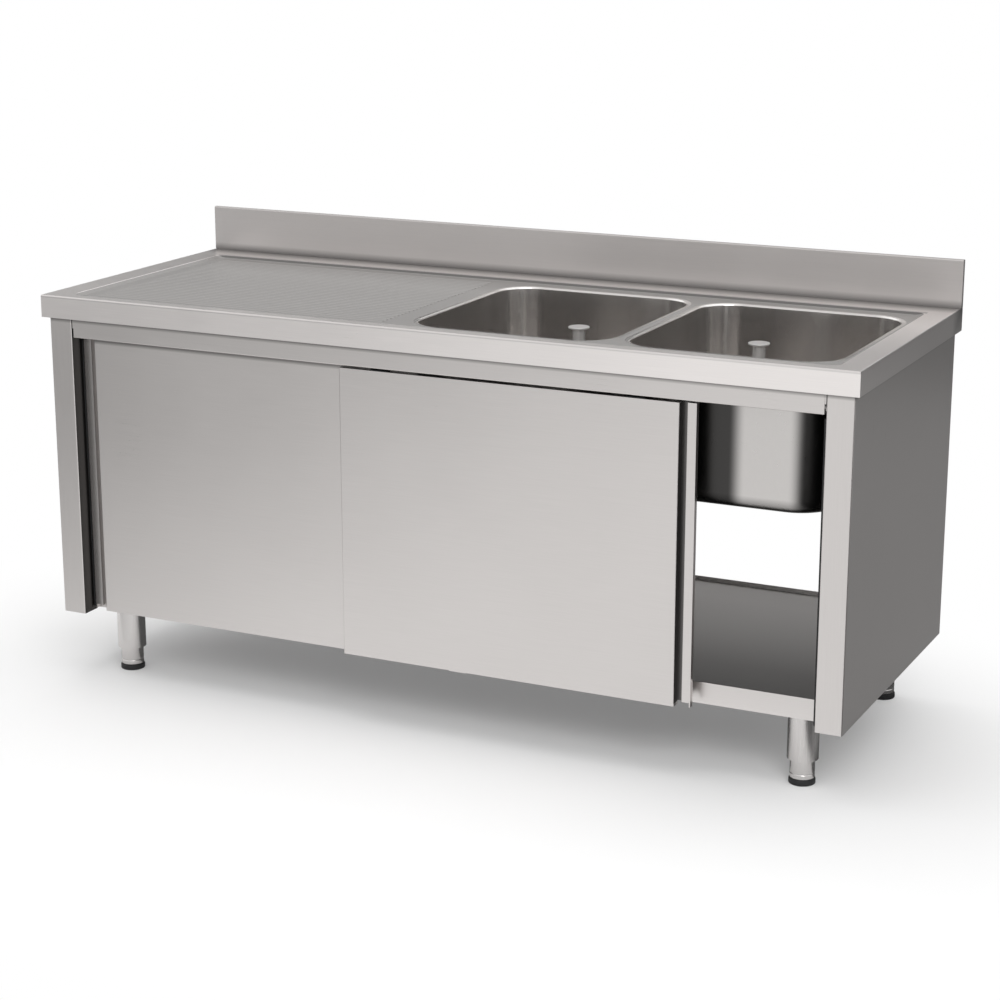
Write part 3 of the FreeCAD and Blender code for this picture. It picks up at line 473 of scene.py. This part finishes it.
def pan_step_boxes():
    """Box along the pressed step at the pan's rear, which turns away from the light: painted shade."""
    low, high = pan_box()
    front, rear, depth, lip = 8 * MM, 3 * MM, 7 * MM, 0.2 * MM
    return [((low[0], high[1] - front, high[2] - depth), (high[0], high[1] + rear, high[2] + lip))]


def front_fold_boxes():
    """Box along the rounded fold at the worktop's front, where painted shade dims the fold's highlight."""
    low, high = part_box("worktop")
    fold = 4 * MM
    return [((low.x, low.y - MM, high.z - fold), (high.x, low.y + fold, high.z + MM))]


def post_boxes():
    """Boxes of the returns that the posts turn towards the doors, which lie in shadow: painted shade."""
    low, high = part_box("side_panel_right")
    face, depth = 1.2 * MM, 60 * MM
    right = ((low.x - MM, low.y + face, low.z - MM), (low.x + 2 * MM, low.y + depth, high.z))
    return [right, ((-right[1][0], right[0][1], right[0][2]), (-right[0][0], right[1][1], right[1][2]))]


def splash_foot_boxes():
    """Box along the splashback's foot, where it and the worktop shade each other: painted shade on both."""
    low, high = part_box("splashback")
    top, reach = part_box("worktop")[1].z, 2 * MM
    return [((low.x - MM, low.y - reach, top - reach), (high.x + MM, low.y + reach, top + reach))]


def cap_boxes():
    """Boxes of the standpipes' caps."""
    thick, boxes = 4.5 * MM, []
    for side in SIDES:
        low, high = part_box("standpipe_" + side)
        boxes.append(((low.x - MM, low.y - MM, high.z - thick), (high.x + MM, high.y + MM, high.z + MM)))
    return boxes


def edge_boxes():
    """Box just under the worktop's folded edge, where the cabinet's faces lie in its shade: painted shade.
    """
    low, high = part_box("worktop")
    return [((low.x, low.y, low.z - 4 * MM), (high.x, high.y, high.z))]


def foot_of_rail_boxes():
    """Box at the rear door's head, in the shade of the front rail's foot: painted shade."""
    low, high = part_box("rear_door_skin")
    return [((low.x - MM, low.y - MM, high.z - 3 * MM), (high.x + MM, low.y + 2 * MM, high.z + MM))]


def bowl_painted_shade():
    """Values for the painted shade on the bowls' outsides: broad darker bands down them and a darker foot.
    """
    left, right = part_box("bowl_left")[0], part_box("bowl_right")[0]
    first, foot, shoulder = 590 * MM, 4 * MM, 32 * MM
    least = bpy.context.scene.sink_unit_shades.bowl_band
    return first, (right.x - left.x) / 2, least, right.z + foot, right.z + shoulder


def shelf_fold_boxes():
    """Box of the shelf's front flange, which gets the cabinet's colour and painted light."""
    low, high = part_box("shelf")
    face, top = 1.2 * MM, 11 * MM
    return [((low.x, low.y - MM, low.z - MM), (high.x, low.y + face, high.z - top))]


def shelf_front_boxes():
    """Box along the front of the shelf's top, furthest from the light behind the unit: painted shade."""
    low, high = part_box("shelf")
    front, rear, sheet = 2 * MM, 120 * MM, (12 * MM, 9 * MM)
    return [((low.x, low.y + front, high.z - sheet[0]), (high.x, low.y + rear, high.z - sheet[1]))]


def upstand_boxes():
    """Box of the shelf's rear upstand, which catches the light behind the unit: painted light."""
    low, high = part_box("shelf")
    face, height = 2 * MM, 9.5 * MM
    return [((low.x, high.y - face, high.z - height), (high.x, high.y + MM, high.z + MM))]


def head_boxes():
    """Boxes of the gaps between the doors' heads and the front rail, where the hangers get painted shade.
    """
    lap, boxes = 2 * MM, []
    for door in ("front_door", "rear_door"):
        low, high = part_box(door + "_hangers")
        head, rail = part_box(door + "_skin")[1].z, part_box("apron")[0].z
        boxes.append(((low.x - MM, low.y - MM, head - lap), (high.x + MM, high.y + MM, rail + lap)))
    return boxes


def grip_boxes():
    """Boxes of the front and the rear door's finger grips, behind the faces, for painted shade."""
    near, far, face, depth, foot = 18.0 * MM, 31.6 * MM, 0.5 * MM, 30 * MM, 6 * MM
    boxes = []
    for node, side in (("front_door_skin", 1), ("rear_door_skin", -1)):
        low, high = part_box(node)
        edge = high.x if side > 0 else low.x
        start, end = sorted((edge - side * far, edge - side * near))
        boxes.append(((start, low.y + face, low.z + foot), (end, low.y + depth, high.z + MM)))
    return boxes


def finish(name):
    """The finish of that name, made once from the colours and shades in the panel."""
    if name in bpy.data.materials:
        return bpy.data.materials[name]
    colours, shades = bpy.context.scene.sink_unit_finishes, bpy.context.scene.sink_unit_shades
    satin, zinc = colours.roughness, 0.38
    worktop_fade, splash_fade, shelf_fade = 60 * MM, 14 * MM, 400 * MM
    front_grip, rear_grip = grip_boxes()
    # Painted shade under the worktop's folded edge, on the cabinet and the rails.
    under_edge = (edge_boxes(), GAP, shades.edge)
    makers = {
        "Worktop steel": lambda: steel(
            name, colours.worktop, satin, LENGTHWISE,
            second=(colours.pan, colours.pan_roughness, [pan_box()]),
            # Painted shade on the worktop towards the splashback, on the pan's rear step and on the front
            # fold.
            painted_light_and_shade=[(splash_foot_boxes(), worktop_fade, shades.worktop_rear),
                      (pan_step_boxes(), FOLD, shades.pan_step),
                      (front_fold_boxes(), FOLD, shades.front_fold)]),
        "Splash steel": lambda: steel(
            name, colours.splash, colours.splash_roughness, LENGTHWISE,
            # Painted shade along the splashback's foot.
            painted_light_and_shade=[(splash_foot_boxes(), splash_fade, shades.splash_foot)]),
        "Shelf steel": lambda: steel(
            name, colours.shelf, colours.pan_roughness, LENGTHWISE,
            # Painted light on the front flange and the rear upstand, painted shade along the front of the
            # top.
            second=(colours.cabinet, satin, shelf_fold_boxes()),
            painted_light_and_shade=[(shelf_front_boxes(), shelf_fade, shades.shelf_front),
                      (upstand_boxes(), CRISP, shades.shelf_upstand),
                      (shelf_fold_boxes(), CRISP, shades.shelf_flange)]),
        "Bowl steel": lambda: steel(
            # Painted shade in bands down the bowls' outsides.
            name, colours.bowl_outside, satin, DRAWN, contrast=0.01, relief=0.0, bands=bowl_painted_shade(),
            # Painted highlight in the bowls' upright corners inside.
            second=(colours.bowl, satin * 0.7, None, colours.bowl_corner_highlight)),
        "Door steel": lambda: steel(
            name, colours.door, satin, LENGTHWISE,
            # Painted shade in the finger grips and at the rear door's head.
            painted_light_and_shade=[([front_grip], CRISP, shades.front_grip), ([rear_grip], CRISP, shades.rear_grip),
                      (foot_of_rail_boxes(), GAP, shades.edge)]),
        "Cabinet steel": lambda: steel(
            name, colours.cabinet, satin, UPRIGHT,
            # Painted shade on the posts' returns and under the worktop's edge.
            painted_light_and_shade=[(post_boxes(), CRISP, shades.post), under_edge]),
        "Satin pipe": lambda: steel(
            name, colours.pipe, satin * 0.8, UPRIGHT, metal=0.72,
            second=(colours.cap, satin, cap_boxes())),
        "Hanger steel": lambda: steel(
            # Painted shade on the hangers in the gaps over the doors.
            name, colours.zinc, zinc, DRAWN, painted_light_and_shade=[(head_boxes(), CRISP, shades.head)]),
        "Rail steel": lambda: steel(name, colours.cabinet, satin, LENGTHWISE, painted_light_and_shade=[under_edge]),
        "Leg steel": lambda: steel(name, colours.leg, satin * 0.85, UPRIGHT),
        "Polished chrome": lambda: plated(
            name, colours.chrome, roughness=0.09, speckle=900.0, relief=0.02, contrast=0.03),
        "Zinc plate": lambda: plated(name, colours.zinc, roughness=zinc, speckle=700.0),
        "Turned brass": lambda: plated(name, colours.brass, roughness=0.3, speckle=800.0),
        "Black rubber": lambda: plated(
            name, colours.rubber, roughness=0.62, speckle=1400.0, metal=0.0, relief=0.3, contrast=0.2),
        "White nylon": lambda: plated(
            name, colours.nylon, roughness=0.45, speckle=1100.0, metal=0.0, relief=0.15, contrast=0.03),
    }
    return makers[name]()


NODE_FINISHES = {
    "Worktop steel": ("worktop",),
    "Splash steel": ("splashback", "splash_end_caps"),
    "Cabinet steel": ("side_panel_left", "side_panel_right", "apron_brackets"),
    "Rail steel": ("apron", "rear_track", "rear_rail", "drainer_stiffeners", "shelf_stiffener_left",
                   "shelf_stiffener_right", "bottom_guide"),
    "Shelf steel": ("shelf",),
    "Door steel": ("front_door_skin", "front_door_back", "rear_door_skin", "rear_door_back"),
    "Hanger steel": ("front_door_hangers", "rear_door_hangers"),
    "Leg steel": ("legs",),
    # The door buffers are black rubber strips, whose black also gives the gaps beside the doors their
    # shade: partly painted shade.
    "Black rubber": ("door_buffers",),
    "White nylon": ("track_stop", "guide_shoes"),
}


class SINKUNIT_OT_finishes(Operator):
    """Give each carried-over sheet, rail and block its steel, rubber or nylon finish"""

    bl_idname = "sink_unit.finishes"
    bl_label = "Finish the sheet metal"

    def execute(self, context):
        for name, nodes in NODE_FINISHES.items():
            for node in nodes:
                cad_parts[node].material_slots[0].material = finish(name)
        return {"FINISHED"}


# ---- bowls ----
def bowl_patch(node, waste, sizes):
    """Closed skin of a drawn bowl, the inside and the outside one sheet away, and its marks.

    A row is the rounded rectangle grown by out at height z, where (out, z) runs from the
    flange over the rim, down the wall and round the foot. On the floor the rows pass from
    the rounded rectangle to the waste's circle: (1-t) rectangle + t circle, and z falls.
    The mark inner is 1 on the inside. The mark bend is sin(pi k) for the share k of an upright
    corner's arc and 0 on the flat walls, and it fades to 0 down the foot's rounding. The finish
    paints a highlight where the mark bend is high.
    """
    low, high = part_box(node)
    x = (low.x + sizes.flange, high.x - sizes.flange)
    y = (low.y + sizes.flange, high.y - sizes.flange)
    sides, bends = [], []
    for wall in (0.0, sizes.sheet):
        top, floor, foot = high.z - wall, low.z + sizes.sheet - wall, sizes.foot + wall
        end = floor + sizes.fall
        line = soften([(sizes.flange, top), (wall, top), (wall, end), (wall - 1.2 * foot, end)],
                      [0, sizes.rim + wall, foot, 0], ROUND_STEPS)
        line = np.concatenate([line[:1], soften_long(line)])
        corner = sizes.corner + np.maximum(line[:, 0], wall)
        ring = loops(x, y, line[:, 0], corner, ARC_STEPS, SIDE_STEPS)
        rows = np.concatenate([ring, np.broadcast_to(line[:, None, 1:], ring.shape[:2] + (1,))], -1)
        last = ring[-1]
        around = np.arctan2(last[:, 1] - waste[1], last[:, 0] - waste[0])
        circle = np.stack([waste[0] + sizes.waste_hole * np.cos(around),
                           waste[1] + sizes.waste_hole * np.sin(around)], -1)
        t = np.linspace(0, 1, FLOOR_STEPS + 1)[1:, None, None]
        plan = (1 - t) * last + t * circle
        level = floor + sizes.fall * (1 - np.sin(t * TURN / 4))
        level = np.broadcast_to(level, plan.shape[:2] + (1,))
        sides.append(np.concatenate([rows, np.concatenate([plan, level], -1)]))
        step = np.arange(ring.shape[1]) % (ARC_STEPS + SIDE_STEPS)
        bend = np.where(step <= ARC_STEPS, np.sin(math.pi * step / ARC_STEPS), 0)
        up = np.clip((line[:, 1] - floor - sizes.fall) / sizes.foot, 0, 1)
        bends.append(np.concatenate([up, np.zeros(len(t))])[:, None] * bend)
    skin = np.concatenate([sides[0], sides[1][::-1]])
    points, faces = patch(skin, close_rows=True, close_columns=True)
    bend = np.concatenate([bends[0], bends[1][::-1]]).ravel()
    inner = (np.arange(len(points)) < len(points) // 2).astype(float)
    return points, faces, {"inner": inner, "bend": np.clip(bend, 0, 1)}


def soften_long(line, longest=30 * MM):
    """The line with its long runs divided evenly, so that no face on a wall is very long."""
    reach = np.linalg.norm(np.diff(line, axis=0), axis=1)
    count = np.maximum(1, np.ceil(reach / longest).astype(int))
    number = np.repeat(np.arange(len(reach)), count)
    part = (np.arange(len(number)) - np.repeat(np.cumsum(count) - count, count) + 1) / count[number]
    return line[number] + (line[number + 1] - line[number]) * part[:, None]


class SINKUNIT_OT_bowls(Operator):
    """Add the two drawn bowls, with round rims, walls and feet, and floors that fall to the wastes"""

    bl_idname = "sink_unit.bowls"
    bl_label = "Add the bowls"

    def execute(self, context):
        sizes = context.scene.sink_unit_sizes
        for side in SIDES:
            points, faces, marks = bowl_patch("bowl_" + side, middle("standpipe_" + side), sizes)
            add_piece("drawn_bowl_" + side, [(points, faces)], finish("Bowl steel"),
                      "cabinet", ("bowl_" + side,), crease=50, marks=marks)
        return {"FINISHED"}


# ---- wastes and standpipes ----
class SINKUNIT_OT_wastes(Operator):
    """Add the wastes: polished flanges, threaded tails and hexagonal backnuts"""

    bl_idname = "sink_unit.wastes"
    bl_label = "Add the wastes"

    def execute(self, context):
        sizes = context.scene.sink_unit_sizes
        low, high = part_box("wastes")
        nut_low, nut_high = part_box("waste_backnuts")
        bore, tail, flange = 17 * MM, 20 * MM, 37 * MM
        top, lip, under = high.z, high.z - 1.6 * MM, high.z - 2.5 * MM
        profile = soften([(bore, lip), (bore + 4 * MM, top), (flange, top), (flange, under),
                          (tail, under), (tail, low.z), (bore, low.z)],
                         np.array([1, 2, 1.1, 0.5, 0.3, 0.6, 0.6]) * MM, 5, closed=True)
        profile = np.concatenate([profile[:1], soften_long(profile, 0.4 * MM)])
        thread = (nut_low.z + 4 * MM, sizes.thread_pitch, sizes.thread_depth, tail - 0.1 * MM)
        hole, reach = tail + 0.4 * MM, 34.6 * MM
        nut = soften([(hole, nut_low.z), (reach - 4 * MM, nut_low.z), (reach, nut_low.z + 2.2 * MM),
                      (reach, nut_high.z - 1.2 * MM), (reach - 2 * MM, nut_high.z), (hole, nut_high.z)],
                     0.3 * MM, 3, closed=True)
        wastes, nuts = [], []
        for side in SIDES:
            x, y, _, _ = middle("standpipe_" + side)
            wastes.append(revolved(profile, (x, y, 0), 48, thread=thread))
            nuts.append(revolved(nut, (x, y, 0), 96, outline=six_flats(reach)))
        add_piece("turned_wastes", wastes, finish("Polished chrome"), "cabinet", ("wastes",))
        add_piece("hex_backnuts", nuts, finish("Turned brass"), "cabinet", ("waste_backnuts",),
                  crease=25)
        return {"FINISHED"}


class SINKUNIT_OT_standpipes(Operator):
    """Add the lift-out standpipes: slotted tubes under flat caps, with a collar and a seal"""

    bl_idname = "sink_unit.standpipes"
    bl_label = "Add the standpipes"

    def execute(self, context):
        sizes = context.scene.sink_unit_sizes
        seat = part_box("wastes")[1].z
        collar, slot_half, slot_height = 22 * MM, 2.2 * MM, 26 * MM
        for side in SIDES:
            x, y, foot, top = middle("standpipe_" + side)
            under = top - 3.5 * MM
            line = soften([(0, top), (sizes.cap, top), (sizes.cap, under), (sizes.tube, under),
                           (sizes.tube, seat + 6 * MM), (collar, seat + 5 * MM), (collar, seat),
                           (sizes.tube, seat), (sizes.tube, foot)],
                          np.array([0, 1.6, 1.2, 0.8, 2, 1, 0.4, 0.4, 0]) * MM, 5)
            line = np.concatenate([line[:1], soften_long(line, 4 * MM)])
            points, faces = revolved(line, (x, y, 0), 72, closed=False)
            centre = points[faces].mean(1)
            below = under - 4 * MM - centre[:, 2]
            in_slot = (np.abs(centre[:, 1] - y) < slot_half) & (below > 0) & (below < slot_height)
            tube = (points, faces[~in_slot][:, ::-1])
            add_piece("standpipe_tube_" + side, [tube], finish("Satin pipe"), "standpipe_" + side,
                      ("standpipe_" + side,), thickness=sizes.tube_wall)
            inner, outer, low, high = 17 * MM, 22.5 * MM, seat + 0.1 * MM, seat + 1.6 * MM
            ring = soften([(inner, low), (outer, low), (outer, high), (inner, high)], 0.5 * MM, 4,
                          closed=True)
            add_piece("standpipe_seal_" + side, [revolved(ring, (x, y, 0), 48)],
                      finish("Black rubber"), "standpipe_" + side)
        return {"FINISHED"}


# ---- rollers, feet and fasteners ----
class SINKUNIT_OT_rollers(Operator):
    """Add the doors' nylon rollers, with rounded treads and recessed sides"""

    bl_idname = "sink_unit.rollers"
    bl_label = "Add the rollers"

    def execute(self, context):
        hub, bore, tread, slope = 5.5 * MM, 3.05 * MM, 2 * MM, 0.6 * MM
        radii = np.array([0.2, 0.4, 0.4, 0.4, 0.4, 0.9]) * MM
        for node in [f"{door}_roller_{side}" for door in ("front", "rear") for side in SIDES]:
            low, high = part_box(node)
            x, y, bottom, top = middle(node)
            half, rim = (high.y - low.y) / 2, (top - bottom) / 2
            face = [(bore, half), (hub, half), (hub + slope, half - MM), (rim - tread - slope, half - MM),
                    (rim - tread, half), (rim, half)]
            other_face = [(r, -depth) for r, depth in face]
            section = soften(other_face + face[::-1], np.concatenate([radii, radii[::-1]]), 4, closed=True)
            points, faces = revolved(section, (0, 0, 0), 48)
            points = points[:, [0, 2, 1]] + (x, y, (bottom + top) / 2)
            add_piece(node.replace("roller", "wheel"), [(points, faces)], finish("White nylon"), node,
                      (node,))
        return {"FINISHED"}


class SINKUNIT_OT_feet(Operator):
    """Add the adjustable feet: turned sleeves with a grooved collar, on round rubber pads"""

    bl_idname = "sink_unit.feet"
    bl_label = "Add the feet"

    def execute(self, context):
        for corner in CORNERS:
            x, y, foot, top = middle("foot_" + corner)
            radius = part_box("foot_" + corner)[1].x - x
            groove = radius - 0.8 * MM
            sleeve = soften([(0, foot), (radius - MM, foot), (radius, foot + 1.5 * MM),
                             (radius, foot + 9 * MM), (groove, foot + 10 * MM), (groove, foot + 11 * MM),
                             (radius, foot + 12 * MM), (radius, top - MM), (radius - MM, top), (0, top)],
                            np.array([0, 0.6, 0.6, 0.3, 0.3, 0.3, 0.3, 0.6, 0.6, 0]) * MM, 4)
            add_piece("foot_sleeve_" + corner, [revolved(sleeve, (x, y, 0), 64, closed=False)],
                      finish("Leg steel"), "foot_" + corner, ("foot_" + corner,))
            base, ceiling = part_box("foot_pad_" + corner)
            reach, hollow = x - base.x, base.z + 1.2 * MM
            pad = soften([(0, hollow), (reach - 6 * MM, hollow), (reach - 5 * MM, base.z),
                          (reach - MM, base.z), (reach, base.z + MM), (reach, ceiling.z - 2.5 * MM),
                          (reach - 1.8 * MM, ceiling.z), (0, ceiling.z)],
                         np.array([0, 0.4, 0.4, 0.8, 0.8, 1.5, 1, 0]) * MM, 4)
            add_piece("rubber_pad_" + corner, [revolved(pad, (x, y, 0), 64, closed=False)],
                      finish("Black rubber"), "foot_" + corner, ("foot_pad_" + corner,))
        return {"FINISHED"}


def bolt_head(x, y, seat, radius, height):
    """Hexagonal head that hangs below its seat, with a chamfer and a flat end."""
    end = seat - height
    profile = soften([(0, end), (0.72 * radius, end), (radius, seat - 0.75 * height), (radius, seat)],
                     [0, 0.15 * radius, 0.1 * radius, 0], 3)
    return revolved(profile, (x, y, 0), 36, closed=False, outline=six_flats(radius))


class SINKUNIT_OT_fasteners(Operator):
    """Add the bolts under the leg plates"""

    bl_idname = "sink_unit.fasteners"
    bl_label = "Add the bolts"

    def execute(self, context):
        sizes = context.scene.sink_unit_sizes
        plate, spacing, height = 3 * MM, 33 * MM, 4.2 * MM
        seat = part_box("legs")[1].z - plate
        heads = []
        for corner in CORNERS:
            x, y, _, _ = middle("foot_" + corner)
            heads += [bolt_head(x + dx, y + dy, seat, sizes.bolt, height)
                      for dx in (-spacing, spacing) for dy in (-spacing, spacing)]
        add_piece("leg_bolts", heads, finish("Zinc plate"), "cabinet", crease=25)
        return {"FINISHED"}


# ---- stage ----
def flat_card(low, high, level):
    """Corners of a level rectangle from low (x, y) to high (x, y)."""
    (left, front), (right, back) = low, high
    return [(left, front, level), (right, front, level), (right, back, level), (left, back, level)]


def add_sheet(name, corners):
    """Object with one flat face."""
    mesh = bpy.data.meshes.new(name)
    mesh.from_pydata(corners, [], [(0, 1, 2, 3)])
    return add_object(name, mesh)


def add_card(name, corners, grey, far_grey=None, span=(0.0, 1.0)):
    """Plain card that only reflections see, for the dark side of a studio.

    Its grey turns to far_grey as x goes over the span.
    """
    card = add_sheet(name, corners)
    material = bpy.data.materials.new(name)
    material.use_nodes = True
    tree = material.node_tree
    tree.nodes.clear()
    place = add_node(tree, "TexCoord").outputs["Object"]
    across = add_node(tree, "SeparateXYZ", {"Vector": place}).outputs["X"]
    level = spread(tree, across, grey, grey if far_grey is None else far_grey, *span)
    glow = add_node(tree, "Emission", {"Color": (1.0, 1.0, 1.0, 1.0), "Strength": level})
    out = add_node(tree, "OutputMaterial")
    tree.links.new(glow.outputs["Emission"], out.inputs["Surface"])
    card.data.materials.append(material)
    card.visible_camera = card.visible_diffuse = card.visible_shadow = card.visible_transmission = False


def add_light(name, place, target, size, watts, reflected=True):
    """Soft rectangular lamp turned to the target, seen in the steel or not."""
    light = bpy.data.lights.new(name, "AREA")
    light.shape, light.size, light.size_y, light.energy = "RECTANGLE", size[0], size[1], watts
    lamp = add_object(name, light)
    lamp.location = place
    lamp.visible_glossy = reflected
    away = np.asarray(place, float) - np.asarray(target, float)
    tilt = math.atan2(math.hypot(away[0], away[1]), away[2])
    lamp.rotation_euler = (tilt, 0, math.atan2(away[0], -away[1]))


def seen_rays(tree):
    """1 for rays from the camera, steel or glass, 0 for the rays that carry light."""
    rays = add_node(tree, "LightPath").outputs
    seen = maths(tree, "MAXIMUM", rays["Is Camera Ray"], rays["Is Glossy Ray"])
    return maths(tree, "MAXIMUM", seen, rays["Is Transmission Ray"])


def add_floor(stage):
    """Pale floor that takes the shadow under the unit and turns to plain white around it."""
    reach = stage.floor_reach
    floor = add_sheet("studio_floor", flat_card((-reach, -reach), (reach, reach), 0))
    material, tree, shader = blank("Pale floor")
    shader.inputs["Base Color"].default_value = tuple(stage.floor) + (1.0,)
    shader.inputs["Roughness"].default_value = 0.9
    shader.inputs["Specular IOR Level"].default_value = 0.0
    glow = add_node(tree, "Emission", {"Color": (1, 1, 1, 1), "Strength": 1.0})
    place = add_node(tree, "TexCoord").outputs["Object"]
    oval = {"Vector": place, "Location": (0.1, -0.35, 0), "Scale": (1.25, 0.85, 1)}
    oval = add_node(tree, "Mapping", oval, vector_type="TEXTURE").outputs["Vector"]
    away = add_node(tree, "VectorMath", {0: oval}, operation="LENGTH").outputs["Value"]
    white = spread(tree, away, stage.near_white, 1.0, 0.7, 1.5, interpolation_type="SMOOTHSTEP")
    part = maths(tree, "MULTIPLY", seen_rays(tree), white)
    mix = add_node(tree, "MixShader", {0: part, 1: shader.outputs["BSDF"], 2: glow.outputs["Emission"]})
    tree.links.new(mix.outputs["Shader"], tree.nodes["Material Output"].inputs["Surface"])
    floor.data.materials.append(material)


def add_surround(stage):
    """World that is plain white where it is seen, and softer as a light."""
    world = bpy.data.worlds.new("Studio")
    bpy.context.scene.world = world
    world.use_nodes = True
    tree = world.node_tree
    tree.nodes.clear()
    level = spread(tree, seen_rays(tree), stage.sky, 1.0, 0.0, 1.0)
    sky = add_node(tree, "Background", {"Color": (1, 1, 1, 1), "Strength": level})
    out = add_node(tree, "OutputWorld")
    tree.links.new(sky.outputs["Background"], out.inputs["Surface"])


def add_cards(stage):
    """Grey cards behind, beside, under and in front of the unit, just over the floor."""
    far, edge, rear, back, height = 7, 0.93, 0.5, 3.4, 2.3
    lowest, between, highest = 0.002, 0.003, 0.004
    add_card("Back card", [(-far, back, 0), (far, back, 0), (far, back, height), (-far, back, height)],
             stage.back_card)
    add_card("Side card", flat_card((edge, -0.3), (6, 4), lowest), stage.side_card)
    # Painted shade: the under card stands in, in reflections, for the shaded floor under the unit.
    add_card("Under card", flat_card((-0.88, -0.22), (edge, rear), highest), stage.under_card)
    slanted = [(0.97, -3.2), (6, -6), (6, -0.3), (0.97, -0.3)]
    add_card("Right card", [(x, y, between) for x, y in slanted], stage.under_card)
    add_card("Back floor card", flat_card((-far, rear), (edge, back), lowest), stage.back_floor)
    add_card("Front card", flat_card((-far, -far), (0.95, -0.45), between),
             stage.front_left, stage.front_right, span=(-2.7, -0.5))


class SINKUNIT_OT_stage(Operator):
    """Set the pale floor, the soft lights, the white surround and the camera"""

    bl_idname = "sink_unit.stage"
    bl_label = "Set the stage"

    def execute(self, context):
        stage = context.scene.sink_unit_stage
        add_floor(stage)
        add_surround(stage)
        add_light("Key light", (2.4, -3.4, 3.0), (0.3, -0.4, 0.3), (2.2, 1.6), stage.key)
        add_light("Top light", (-0.4, -0.2, 3.6), (0, 0, 0.4), (3.2, 2.2), stage.top, reflected=False)
        add_cards(stage)
        camera = add_object("Camera", bpy.data.cameras.new("Camera"))
        camera.location = stage.camera_place
        camera.rotation_euler = (math.pi / 2 - stage.camera_tilt, 0, stage.camera_turn)
        camera.data.lens = stage.lens
        camera.data.clip_end = 200
        context.scene.camera = camera
        context.scene.view_settings.view_transform = "Standard"
        return {"FINISHED"}


OPERATORS = (
    SINKUNIT_OT_finishes,
    SINKUNIT_OT_bowls,
    SINKUNIT_OT_wastes,
    SINKUNIT_OT_standpipes,
    SINKUNIT_OT_rollers,
    SINKUNIT_OT_feet,
    SINKUNIT_OT_fasteners,
    SINKUNIT_OT_stage,
)


GROUPS = {"sink_unit_sizes": SinkUnitSizes, "sink_unit_finishes": SinkUnitFinishes,
          "sink_unit_shades": SinkUnitShades, "sink_unit_stage": SinkUnitStage}


class SINKUNIT_PT_panel(Panel):
    """Sizes, colours and steps of the sink unit"""

    bl_idname = "SINKUNIT_PT_panel"
    bl_label = "Sink unit"
    bl_space_type = "VIEW_3D"
    bl_region_type = "UI"
    bl_category = "Sink unit"

    def draw(self, context):
        for group_name, group in GROUPS.items():
            box = self.layout.box()
            box.label(text=group_name.rsplit("_", 1)[-1].capitalize())
            for name in group.__annotations__:
                box.prop(getattr(context.scene, group_name), name)
        for operator in OPERATORS:
            self.layout.operator(operator.bl_idname)


def register():
    for group in GROUPS.values():
        bpy.utils.register_class(group)
    for name, group in GROUPS.items():
        setattr(bpy.types.Scene, name, PointerProperty(type=group))
    for operator in OPERATORS:
        bpy.utils.register_class(operator)
    bpy.utils.register_class(SINKUNIT_PT_panel)


def unregister():
    bpy.utils.unregister_class(SINKUNIT_PT_panel)
    for operator in reversed(OPERATORS):
        bpy.utils.unregister_class(operator)
    for name, group in GROUPS.items():
        delattr(bpy.types.Scene, name)
        bpy.utils.unregister_class(group)


def main():
    register()
    bpy.ops.sink_unit.finishes()
    bpy.ops.sink_unit.bowls()
    bpy.ops.sink_unit.wastes()
    bpy.ops.sink_unit.standpipes()
    bpy.ops.sink_unit.rollers()
    bpy.ops.sink_unit.feet()
    bpy.ops.sink_unit.fasteners()
    bpy.ops.sink_unit.stage()


if __name__ == "__main__":
    main()
